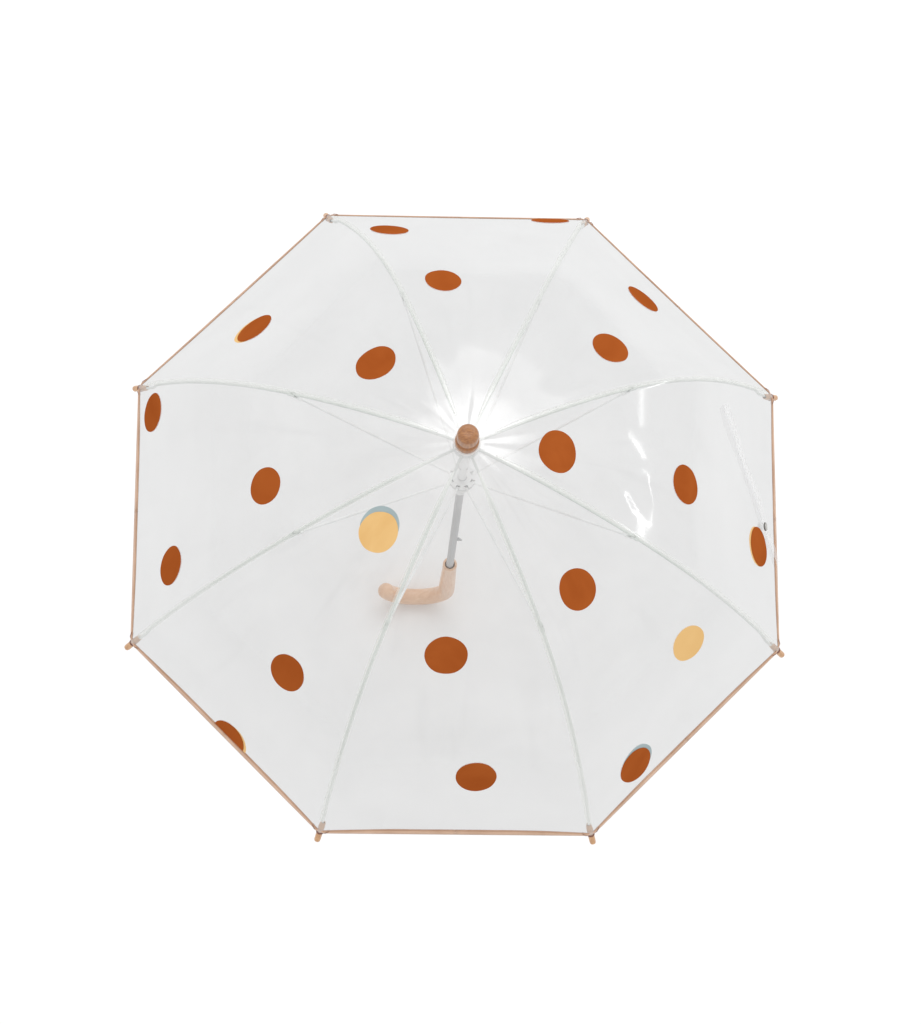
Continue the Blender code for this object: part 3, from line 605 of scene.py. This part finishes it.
def hang(piece, k, part, slot="clear_film"):
    """Ride on the rib, and let light through if it is clear film."""
    body, keep = body_of(k, part)
    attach(piece, body)
    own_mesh(piece)
    if slot == "clear_film":
        no_shade(piece)


def film_piece(k, part):
    """The film over one rib, from the hub to the joint or from the joint to the hem."""
    halves = [(before(k), np.linspace(0.5, 1, ACROSS + 1)), (k, np.linspace(0, 0.5, ACROSS + 1)[1:])]
    rows = INNER_ROWS if part == "inner" else OUTER_ROWS
    v = np.linspace(0, 1, rows)[:, None]
    points, uvs = [], []
    for gore, u in halves:
        split = split_t(u)[None, :]
        t = CAP_T + (split - CAP_T) * v if part == "inner" else split + (1 - split) * v
        u = np.broadcast_to(u, t.shape)
        points.append(film_surface(gore, u, t)[0])
        uvs.append(np.stack([(gore + 1 + u) * UV_PER_GORE, arc(t)], axis=-1))
    points, uvs = (np.concatenate(x, axis=1) for x in (points, uvs))
    shape = points.shape[:2]
    made = add_mesh(
        f"film_{part}_{k}", points.reshape(-1, 3), grid_faces(*shape), [FILM], uvs=uvs.reshape(-1, 2)
    )
    hang(made, k, part)
    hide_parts(f"canopy_{part}_{k}")
    quads = np.cross(points[1:, 1:] - points[:-1, :-1], points[:-1, 1:] - points[1:, :-1])
    area = float(np.linalg.norm(quads, axis=-1).sum() / 2)
    SOFT[part, k] = [made, area, []]


for rib in range(1, RIBS + 1):
    film_piece(rib, "inner")
    film_piece(rib, "outer")


def film_cap():
    """The film that stays clamped between the crown and the washer."""
    per_gore = 8
    columns = RIBS * per_gore
    hole, hole_uvs = [], []
    for j in range(columns):
        a = HALF_STEP + math.tau * j / columns
        hole.append((CAP_HOLE_RADIUS * math.cos(a), CAP_HOLE_RADIUS * math.sin(a), CAP_HOLE_Z))
        hole_uvs.append((j * 0.02, 0.0))
    rings, ring_uvs = [], []
    for t in (0.0, CAP_T):
        for j in range(columns):
            gore, u = j // per_gore + 1, (j % per_gore) / per_gore
            rings.append(film_surface(gore, np.array(u), np.array(t))[0])
            ring_uvs.append(((gore + u) * UV_PER_GORE, float(arc(t))))
    faces = grid_faces(3, columns, wrap=True)
    made = add_mesh("film_cap", hole + rings, faces, [FILM], uvs=hole_uvs + ring_uvs)
    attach(made, "handle_and_shaft")
    no_shade(made)


film_cap()


# Printed dots: gore, place across and along it, radius, ink, and the ink and shift of the dot behind


DOTS = [
    (2, 0.84, 0.776, 0.0200, "brown", None),
    (2, 0.137, 0.955, 0.0200, "brown", None),
    (2, 0.675, 0.455, 0.0186, "brown", None),
    (3, 0.64, 0.735, 0.0198, "brown", ("mustard", 0.0020, 0.0030)),
    (3, 0.485, 0.275, 0.0192, "brown", None),
    (1, 0.565, 0.785, 0.0198, "brown", None),
    (1, 0.38, 0.445, 0.0205, "brown", None),
    (8, 0.485, 0.173, 0.0195, "brown", None),
    (8, 0.455, 0.57, 0.0188, "brown", None),
    (8, 0.345, 0.90, 0.0200, "brown", ("mustard", -0.0005, -0.0032)),
    (7, 0.40, 0.38, 0.0212, "brown", None),
    (7, 0.73, 0.74, 0.0198, "mustard", None),
    (5, 0.475, 0.235, 0.0205, "mustard", ("blue", -0.0035, -0.0052)),
    (4, 0.605, 0.47, 0.0184, "brown", None),
    (4, 0.12, 0.922, 0.0200, "brown", None),
    (4, 0.80, 0.825, 0.0198, "brown", None),
    (5, 0.585, 0.69, 0.0202, "brown", None),
    (6, 0.405, 0.465, 0.0195, "brown", None),
    (6, 0.57, 0.825, 0.0197, "brown", None),
    (7, 0.262, 0.925, 0.0203, "brown", ("blue", 0.0030, -0.0030)),
    (5, 0.515, 0.991, 0.0205, "brown", ("mustard", 0.0030, 0.0)),
]
DOT_RINGS, DOT_SIDES = 5, 44
DOT_WOBBLE = 0.030
# Dots end under the binding, and next to it their slope is measured from one side only
DOT_END_T, HEM_T = 0.988, 0.99
BACK_LIFT, FRONT_LIFT = 0.00022, 0.00045
# A dot behind has its own outline
BACK_SEED = 50
# By rib and part: what is printed on that film piece
PRINT = {}


def dot_faces(gore, u0, t0, radius, seed):
    """A round dot as (u, t) corners and faces, cut where the film is divided."""

    def at(du, dt):
        return chord(gore, np.array(u0 + du), np.array(min(1.0, t0 + dt)))

    step = 1e-3
    ahead = step if t0 < HEM_T else 0
    across = (at(step, 0) - at(-step, 0)) / (2 * step)
    along = (at(0, ahead) - at(0, -step)) / (step + ahead)
    e1 = across / np.linalg.norm(across)
    lean = float(along @ e1)
    e2_length = math.sqrt(max(1e-9, float(along @ along) - lean**2))
    shape = bmesh.new()
    middle = shape.verts.new((u0, t0, 0))
    rings = []
    for i in range(1, DOT_RINGS + 1):
        ring = []
        for j in range(DOT_SIDES):
            a = math.tau * j / DOT_SIDES
            wobble = 1 + DOT_WOBBLE * noise.noise(Vector((math.cos(a) * 1.3, math.sin(a) * 1.3, seed)))
            reach = radius * wobble * i / DOT_RINGS
            dt = reach * math.sin(a) / e2_length
            width = float(gore_width(min(1.0, max(0.0, t0 + dt))))
            du = (reach * math.cos(a) - lean * dt) / width
            ring.append(shape.verts.new((u0 + du, t0 + dt, 0)))
        rings.append(ring)
    for j in range(DOT_SIDES):
        shape.faces.new((middle, rings[0][j], rings[0][(j + 1) % DOT_SIDES]))
    for low, high in zip(rings, rings[1:]):
        for j in range(DOT_SIDES):
            n = (j + 1) % DOT_SIDES
            shape.faces.new((low[j], high[j], high[n], low[n]))
    slope = 2 * (T_JOINT_MID - T_JOINT)
    cuts = [
        ((0.5, 0, 0), (1, 0, 0)),
        ((0, T_JOINT, 0), (-slope, 1, 0)),
        ((1, T_JOINT, 0), (slope, 1, 0)),
    ]
    for place, direction in cuts:
        geometry = shape.verts[:] + shape.edges[:] + shape.faces[:]
        bmesh.ops.bisect_plane(shape, geom=geometry, plane_co=place, plane_no=direction, dist=1e-7)
    geometry = shape.verts[:] + shape.edges[:] + shape.faces[:]
    bmesh.ops.bisect_plane(
        shape, geom=geometry, plane_co=(0, DOT_END_T, 0), plane_no=(0, 1, 0), clear_outer=True
    )
    return shape


def print_dot(gore, u0, t0, radius, color, lift, seed):
    """Lay a dot on the film and share its faces out over the film pieces under it."""
    shape = dot_faces(gore, u0, t0, radius, seed)
    for face in shape.faces:
        u, t = face.calc_center_median()[:2]
        k = gore if u < 0.5 else after(gore)
        part = "inner" if t < split_t(u) else "outer"
        empty = {"points": [], "faces": [], "colors": [], "uvs": [], "seen": {}}
        store = PRINT.setdefault((k, part), empty)
        corners = []
        for corner in face.verts:
            key = (gore, color, seed, corner.index)
            if key not in store["seen"]:
                u1, t1 = corner.co.x, min(1.0, corner.co.y)
                at, _ = film_surface(gore, np.array(u1), np.array(t1), lift)
                store["seen"][key] = len(store["points"])
                store["points"].append(at)
                store["uvs"].append(((gore + u1) * UV_PER_GORE, float(arc(t1))))
            corners.append(store["seen"][key])
        store["faces"].append(corners)
        store["colors"].append(list(INKS).index(color))
    shape.free()


def shifted(gore, u, t, dx, dy):
    """A place moved across and down the gore by metres."""
    width = float(gore_width(t))
    slope = float(arc(min(1, t + 0.01)) - arc(t - 0.01)) / (min(1, t + 0.01) - t + 0.01)
    return u + dx / width, t + dy / slope


for number, (gore, u, t, radius, color, behind) in enumerate(DOTS):
    if behind:
        back, dx, dy = behind
        bu, bt = shifted(gore, u, t, dx, dy)
        print_dot(gore, bu, bt, radius, back, BACK_LIFT, number + BACK_SEED)
    print_dot(gore, u, t, radius, color, FRONT_LIFT, number)

for (k, part), store in PRINT.items():
    made = add_mesh(
        f"printed_dots_{part}_{k}", store["points"], store["faces"], list(INKS.values()),
        uvs=store["uvs"], face_materials=store["colors"],
    )
    hang(made, k, part, "printed_ink")
    SOFT[part, k][2].append(made)


# Welded seams over the ribs


SEAM_HALF = 0.0030
SEAM_START_T, SEAM_END_T = 0.035, 0.966
SEAM_LIFT, SEAM_HUMP = 0.00025, 0.00055
# Its width grows with the length from the hub: full from here on, and never under this share
SEAM_FULL_FROM, SEAM_LEAST = 0.05, 0.35
# How far each seam lies to the side of its rib
SEAM_SHIFTS = (0.0014, 0.0014, -0.0014, -0.0014, 0.0006, -0.0006, -0.0014, 0.0014)


def across_rib(k, x, t, lift):
    """Point of the film x metres across rib k, anticlockwise positive."""
    width = gore_width(t)
    right, _ = film_surface(k, np.clip(x, 0, None) / width, t, lift)
    left, _ = film_surface(before(k), 1 + np.clip(x, None, 0) / width, t, lift)
    return np.where((np.asarray(x) >= 0)[..., None], right, left)


def seam(k, part):
    """A welded seam: a low hump that narrows towards the crown."""
    span = (SEAM_START_T, T_JOINT) if part == "inner" else (T_JOINT, SEAM_END_T)
    t = np.linspace(*span, 36 if part == "inner" else 60)[:, None]
    x = np.linspace(-1, 1, 7)[None, :] * SEAM_HALF + SEAM_SHIFTS[k - 1]
    taper = np.clip(arc(t) / SEAM_FULL_FROM, SEAM_LEAST, 1)
    x, t = np.broadcast_arrays(x * taper, t)
    hump = SEAM_HUMP * (1 - ((x - SEAM_SHIFTS[k - 1] * taper) / (SEAM_HALF * taper)) ** 2)
    points = across_rib(k, x, t, SEAM_LIFT) + hump[..., None] * np.array([0, 0, 1.0])
    uvs = np.stack([k * UV_PER_GORE + x * 3, arc(t)], axis=-1)
    made = add_mesh(
        f"weld_{part}_{k}", points.reshape(-1, 3), grid_faces(*x.shape), [WELD], uvs=uvs.reshape(-1, 2)
    )
    hang(made, k, part)
    SOFT[part, k][2].append(made)


for rib in range(1, RIBS + 1):
    seam(rib, "inner")
    seam(rib, "outer")


# Binding round the hem, and the thread that ties it to each tip


# Width in the middle of a gore and at the tips, and half the thickness of the folded tape
BINDING_WIDTH = 0.0066
BINDING_END = 0.0032
BINDING_HALF = 0.00065
BINDING_OVER_HEM = 0.0006
BINDING_STEPS = 22
# Section of the tape: share of its width down to the hem, and half-thicknesses off the film
BINDING_SECTION = (
    (0.0, 1), (0.35, 1.25), (0.75, 1.1), (1.0, 0.6), (1.0, -0.6), (0.75, -1.1), (0.35, -1.2), (0.0, -1)
)


def binding(k):
    """Tape folded round the hem on both sides of a tip, narrower towards it."""
    points, uvs = [], []
    halves = [
        (before(k), np.linspace(0.5, 0.985, BINDING_STEPS)),
        (k, np.linspace(0.015, 0.5, BINDING_STEPS)),
    ]
    for gore, us in halves:
        for u in us:
            near = min(u, 1 - u) * 2
            full = math.sin(min(1, near * 1.6) * math.pi / 2)
            width = BINDING_END + (BINDING_WIDTH - BINDING_END) * full
            width *= 1 + 0.05 * noise.noise(Vector((gore * 3 + u * 9, 0, 5)))
            for down, side in BINDING_SECTION:
                t = float(np.interp(ARC_TABLE[-1] - width * (1 - down), ARC_TABLE, T_TABLE))
                at, _ = film_surface(gore, np.array(u), np.array(t), side * BINDING_HALF)
                points.append(at - np.array([0, 0, BINDING_OVER_HEM]) * (down == 1.0))
                uvs.append(((gore + u) * TAPE_U, down * TAPE_V + 0.02 * (side < 0)))
    sides = len(BINDING_SECTION)
    faces = grid_faces(2 * BINDING_STEPS, sides, wrap=True)
    made = add_mesh(f"binding_{k}", points, faces, [BINDING], uvs=uvs)
    mend(made, open_sides=sides)
    hang(made, k, "outer", "hem_binding")
    SOFT["outer", k][2].append(made)


for rib in range(1, RIBS + 1):
    binding(rib)


def tube(name, path, radius, sides, material):
    """A round cord along a path of points."""
    path = [Vector(p) for p in path]
    count = len(path)
    points, uvs = [], []
    normal = None
    for i, p in enumerate(path):
        ahead = path[i + 1] if i < count - 1 else p
        behind = path[i - 1] if i else p
        along = (ahead - behind).normalized()
        if normal is None:
            normal = along.orthogonal().normalized()
        normal = (normal - along * normal.dot(along)).normalized()
        side = along.cross(normal)
        for j in range(sides):
            a = math.tau * j / sides
            points.append(p + (normal * math.cos(a) + side * math.sin(a)) * radius)
            uvs.append((j / sides * 0.01, i * 0.002))
    faces = grid_faces(count, sides, wrap=True) + end_faces(count, sides)
    return add_mesh(name, points, faces, [material], uvs=uvs)


# The tip's axis points a little outside the film's own direction at the rim
TIP_SLOPE = math.radians(62 - 8)
TIP_DEPTH = 0.0038
TIP_RADIUS = 0.0032
THREAD_RADIUS, STITCH_RADIUS = 0.00024, 0.0003
THREAD_SIDES = 6
# Half the width of the turns along the tip, their distance from the wood, and how uneven that is
TURNS_HALF, TURNS_OFF, TURNS_UNEVEN = 0.0012, 0.00035, 0.00012
# A stitch goes into the binding this far to the side of the rib, and stands off the film
STITCH_ACROSS, STITCH_T, STITCH_LIFT = 0.0095, 0.992, 0.0011
STITCH_START, STITCH_RISE = 0.001, 0.0016


def thread(k):
    """Turns of thread round the tip, with a stitch into the binding at each side."""
    e, c, z = outward(k), -clockwise(k), np.array([0, 0, 1.0])
    down = e * math.cos(TIP_SLOPE) - z * math.sin(TIP_SLOPE)
    up = e * math.sin(TIP_SLOPE) + z * math.cos(TIP_SLOPE)
    centre = rib_line(k, 1.0) - up * TIP_DEPTH + down * TURNS_HALF
    ring = []
    turns, sides = 3, 18
    for i in range(turns * sides + 1):
        a = math.tau * i / sides
        shift = TURNS_HALF * (2 * i / (turns * sides) - 1)
        reach = TIP_RADIUS + TURNS_OFF + TURNS_UNEVEN * math.sin(2.7 * i)
        ring.append(centre + down * shift + (up * math.sin(a) + c * math.cos(a)) * reach)
    made = tube(f"tip_thread_{k}", ring, THREAD_RADIUS, THREAD_SIDES, THREAD)
    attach(made, f"rib_end_{k}")
    for side, letter in ((-1, "a"), (1, "b")):
        start = centre + c * side * TIP_RADIUS + up * STITCH_START
        end = across_rib(k, np.array(side * STITCH_ACROSS), np.array(STITCH_T), STITCH_LIFT)
        middle = (start + end) / 2 + up * STITCH_RISE
        line = [start, middle, end]
        stitch = tube(f"tip_stitch_{k}_{letter}", line, STITCH_RADIUS, THREAD_SIDES, THREAD)
        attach(stitch, f"rib_end_{k}")


for rib in range(1, RIBS + 1):
    thread(rib)


# Closure strap


STRAP_HALF = 0.0048
STRAP_THICK_HALF = 0.0002
STRAP_LIFT, STRAP_WAVE, STRAP_CURL = 0.0014, 0.0010, 0.0006
# Its line across and along gore 8, from the hem
STRAP_LINE = np.array([
    (0.330, 0.998), (0.385, 0.966), (0.440, 0.930), (0.53, 0.895),
    (0.61, 0.852), (0.70, 0.81), (0.79, 0.775), (0.885, 0.738),
])
STRAP_STEPS = 46


def strap():
    """A strip of clear film from the hem, lying over the film on gore 8."""
    knots = range(len(STRAP_LINE))
    steps = np.linspace(0, knots[-1], STRAP_STEPS)
    u, t = (np.interp(steps, knots, STRAP_LINE[:, i]) for i in (0, 1))
    centre, up = film_surface(8, u, t, STRAP_LIFT)
    along = np.gradient(centre, axis=0)
    along /= np.linalg.norm(along, axis=-1, keepdims=True)
    side = np.cross(up, along)
    wave = STRAP_WAVE * (np.sin(steps * 2.3) + 1) * np.clip(steps / 5, 0, 1)
    top, bottom = [], []
    for j in (-1, -0.5, 0, 0.5, 1):
        at = centre + side * STRAP_HALF * j + up * (wave + STRAP_CURL * j * j)[:, None]
        top.append(at + up * STRAP_THICK_HALF)
        bottom.append(at - up * STRAP_THICK_HALF)
    section = top + bottom[::-1]
    points = np.stack(section, axis=1)
    uvs = [(j * 0.002, i * 0.003 + 0.3) for i in range(STRAP_STEPS) for j in range(len(section))]
    faces = grid_faces(STRAP_STEPS, len(section), wrap=True)
    made = add_mesh("closure_strap", points.reshape(-1, 3), faces, [STRAP], uvs=uvs)
    mend(made, open_sides=len(section), outwards=False, sharp=40)
    hang(made, 8, "outer")
    SOFT["outer", 8][2].append(made)


strap()


# Faces of the stud farther than this from its middle are its dark rim
STUD_CROWN = 0.0034


def cad_copy(name, materials):
    """A piece with its own copy of a CAD node's mesh, in world coordinates, and its points."""
    source = frame["nodes"][name]
    mesh = source.data.copy()
    mesh.name = f"{name}_look"
    mesh.transform(source.matrix_world)
    mesh.materials.clear()
    for finish in materials:
        mesh.materials.append(finish)
    made = bpy.data.objects.new(f"{name}_look", mesh)
    LOOKS.objects.link(made)
    at = np.empty(len(mesh.vertices) * 3)
    mesh.vertices.foreach_get("co", at)
    return made, at.reshape(-1, 3)


def stud():
    """The snap riveted through the film: it rides on the rib end of the sector it sits in."""
    made, at = cad_copy("press_stud", [STEEL, STUD_RIM])
    middle = Vector(at.mean(axis=0))
    for face in made.data.polygons:
        face.material_index = int((face.center - middle).length > STUD_CROWN)
    hang(made, 8, "outer", slot="steel_fittings")
    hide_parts("press_stud")


stud()


# Ribs and stretchers, with the sideways bow of the real frame


# A stretcher's bow grows from nothing at the runner to the rib's own at its joint
STRETCHER_FROM, STRETCHER_TO = 0.012, 0.176


def bowed(k, kind):
    """A rib's part or its stretcher, moved sideways by the rib's bow."""
    made, at = cad_copy(f"{kind}_{k}", [STRETCHER_PAINT if kind == "stretcher" else RIB_PAINT])
    r = at @ outward(k)
    if kind == "stretcher":
        grown = np.clip((r - STRETCHER_FROM) / (STRETCHER_TO - STRETCHER_FROM), 0, 1)
        share = grown * math.sin(math.pi * T_JOINT)
    else:
        share = np.sin(math.pi * np.interp(r, R_TABLE, T_TABLE))
    at = at + (BOWS[k - 1] * share)[:, None] * clockwise(k)
    made.data.vertices.foreach_set("co", at.ravel())
    made.data.update()
    body = {"rib_inner": "rib_", "rib_outer": "rib_end_", "stretcher": "stretcher_"}[kind]
    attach(made, f"{body}{k}")
    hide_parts(f"{kind}_{k}")


for rib in range(1, RIBS + 1):
    for kind in ("rib_inner", "rib_outer", "stretcher"):
        bowed(rib, kind)


# Handle and ferrule


HANDLE_TOP_Z, HOOK_Z, HOOK_RADIUS = 0.054, -0.052, 0.034
HOOK_SWEEP = math.radians(163)
HANDLE_TOP_RADIUS, HANDLE_HOOK_RADIUS = 0.0076, 0.0089
HANDLE_EDGE = 0.0012
SOCKET_RADIUS = 0.0050
SOCKET_DEPTH = 0.010
CHAMFER_DEPTH, CHAMFER = 0.0006, 0.0005
STRAIGHT_STEPS, HOOK_STEPS, HANDLE_SIDES = 26, 48, 40


def smooth_step(x):
    x = min(1.0, max(0.0, x))
    return x * x * (3 - 2 * x)


def handle():
    """A steam-bent stick: straight grip, hook, rounded end, and a chamfered socket."""
    rings = []

    def level(z, radius):
        rings.append((Vector((0, 0, z)), Vector((0, 0, -1)), radius))

    level(HANDLE_TOP_Z - SOCKET_DEPTH, SOCKET_RADIUS)
    level(HANDLE_TOP_Z - CHAMFER_DEPTH, SOCKET_RADIUS)
    level(HANDLE_TOP_Z, SOCKET_RADIUS + CHAMFER)
    for turn in (0, 30, 60, 90):
        a = math.radians(turn)
        radius = HANDLE_TOP_RADIUS - HANDLE_EDGE * (1 - math.sin(a))
        level(HANDLE_TOP_Z - HANDLE_EDGE * (1 - math.cos(a)), radius)
    start_z = HANDLE_TOP_Z - HANDLE_EDGE
    for i in range(1, STRAIGHT_STEPS):
        share = i / STRAIGHT_STEPS
        radius = HANDLE_TOP_RADIUS + (HANDLE_HOOK_RADIUS - HANDLE_TOP_RADIUS) * smooth_step(share)
        level(start_z + (HOOK_Z - start_z) * share, radius)
    for i in range(HOOK_STEPS + 1):
        turn = HOOK_SWEEP * i / HOOK_STEPS
        at = Vector((-HOOK_RADIUS * (1 - math.cos(turn)), 0, HOOK_Z - HOOK_RADIUS * math.sin(turn)))
        rings.append((at, Vector((-math.sin(turn), 0, -math.cos(turn))), HANDLE_HOOK_RADIUS))
    end, along, round_radius = rings[-1]
    for turn in range(10, 90, 10):
        a = math.radians(turn)
        rings.append((end + along * round_radius * math.sin(a), along, round_radius * math.cos(a)))
    sides = HANDLE_SIDES
    points, uvs, travel, last = [], [], 0.0, rings[0][0]
    for at, along, radius in rings:
        travel += (at - last).length
        last = at
        normal = Vector((along.z, 0, -along.x))
        for j in range(sides):
            a = math.tau * j / sides
            points.append(at + (normal * math.cos(a) + Vector((0, 1, 0)) * math.sin(a)) * radius)
            uvs.append((0.25 + 0.25 * math.cos(a), travel * 20 + 0.25 * math.sin(a)))
    faces = grid_faces(len(rings), sides, wrap=True) + end_faces(len(rings), sides)
    made = add_mesh("handle_look", points, faces, [WOOD], uvs=uvs)
    mend(made, sharp=50)
    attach(made, "handle_and_shaft")
    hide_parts("handle")


def lathe(name, outline, sides, material, uv_radius):
    """A turned form; its texture is laid on from above, with uv_radius as its scale."""
    points, uvs = [], []
    for r, z in outline:
        for j in range(sides):
            a = math.tau * j / sides
            points.append((r * math.cos(a), r * math.sin(a), z))
            uvs.append(tuple(0.5 + 0.3 * part(a) * r / uv_radius for part in (math.cos, math.sin)))
    faces = grid_faces(len(outline), sides, wrap=True) + end_faces(len(outline), sides)
    made = add_mesh(name, points, faces, [material], uvs=uvs)
    mend(made, sharp=50)
    return made


def ferrule():
    """The turned wooden end over the washer: collar, groove and blunt bulb."""
    top, dome_z, dome_radius, flat = 0.5225, 0.5160, 0.0103, 0.0050
    outline = [(0.0010, top - 0.0005), (0.0030, top - 0.0002), (flat, top - 0.0002)]
    steps = 16
    for i in range(1, steps + 1):
        a = math.pi / 2 * i / steps
        radius = flat + (dome_radius - flat) * math.sin(a)
        outline.append((radius, dome_z + (top - 0.0002 - dome_z) * math.cos(a)))
    outline += [
        (0.0106, 0.5130),
        (0.0107, 0.5105),
        (0.0107, 0.5080),
        (0.0106, 0.5062),
        (0.0104, 0.5053),
        (0.0100, 0.5046),
        (0.0093, 0.5038),
        (0.0090, 0.5028),
        (0.0091, 0.5018),
        (0.0096, 0.5012),
        (0.0107, 0.5009),
        (0.0113, 0.5004),
        (0.0115, 0.4996),
        (0.0116, 0.4960),
        (0.0115, 0.4928),
        (0.0112, 0.4920),
        (0.0046, 0.4920),
    ]
    made = lathe("ferrule_look", outline, 56, WOOD_END, uv_radius=0.011)
    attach(made, "handle_and_shaft")
    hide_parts("ferrule")


handle()
ferrule()


# CAD nodes that stay, with finished materials


def dress(name, material):
    for place in frame["nodes"][name].material_slots:
        place.material = material


DRESSED = {
    "shaft": SHAFT_PAINT,
    "stop_pin": STEEL,
    "crown": PLASTIC,
    "crown_wire": STEEL,
    "top_washer": PLASTIC,
    "runner": PLASTIC,
    "runner_wire": STEEL,
    "lower_catch": CATCH_PAINT,
    "upper_catch": CATCH_PAINT,
}
for name, material in DRESSED.items():
    dress(name, material)
for rib in range(1, RIBS + 1):
    dress(f"tip_{rib}", WOOD_TIPS)


# Floor, light and camera


FLOOR_Z, FLOOR_REACH = -0.0956, 3.0


def stage():
    finish, _, _, shader = blank("floor_look")
    shader.inputs["Base Color"].default_value = (0.93, 0.93, 0.93, 1)
    shader.inputs["Roughness"].default_value = 0.9
    square = ((-1, -1), (1, -1), (1, 1), (-1, 1))
    corners = [(x * FLOOR_REACH, y * FLOOR_REACH, FLOOR_Z) for x, y in square]
    floor = add_mesh("floor", corners, [(0, 1, 2, 3)], [finish], smooth=False)


def area_light(name, place, target, size, energy, roll=0):
    data = bpy.data.lights.new(name, "AREA")
    data.shape = "RECTANGLE"
    data.size, data.size_y = size
    data.energy = energy
    made = bpy.data.objects.new(name, data)
    made.location = place
    aim = (Vector(target) - Vector(place)).to_track_quat("-Z", "Y")
    made.rotation_euler = (aim @ Quaternion((0, 0, 1), math.radians(roll))).to_euler()
    bpy.context.scene.collection.objects.link(made)


def light_and_camera():
    scene = bpy.context.scene
    world = bpy.data.worlds.new("studio")
    world.use_nodes = True
    background = world.node_tree.nodes["Background"]
    background.inputs["Color"].default_value = (1.0, 1.0, 1.0, 1.0)
    background.inputs["Strength"].default_value = 0.98
    scene.world = world
    centre = (0, 0, 0.3)
    area_light("back_softbox", (0.7, 1.9, 2.9), centre, (2.8, 2.3), 28)
    area_light("back_softbox_core", (-0.6, 1.7, 2.7), centre, (1.1, 1.0), 2.5)
    area_light("side_strip", (2.45, 1.12, 0.88), centre, (1.45, 0.07), 1.0, roll=-35)
    data = bpy.data.cameras.new("camera")
    data.sensor_width = 36.0
    data.lens = 116.77
    camera = bpy.data.objects.new("camera", data)
    camera.location = (-0.1244, -0.9408, 3.4939)
    camera.rotation_euler = tuple(math.radians(a) for a in (16.18, -2.29, 0.11))
    scene.collection.objects.link(camera)
    scene.camera = camera
    scene.view_settings.view_transform = "Standard"


stage()
light_and_camera()
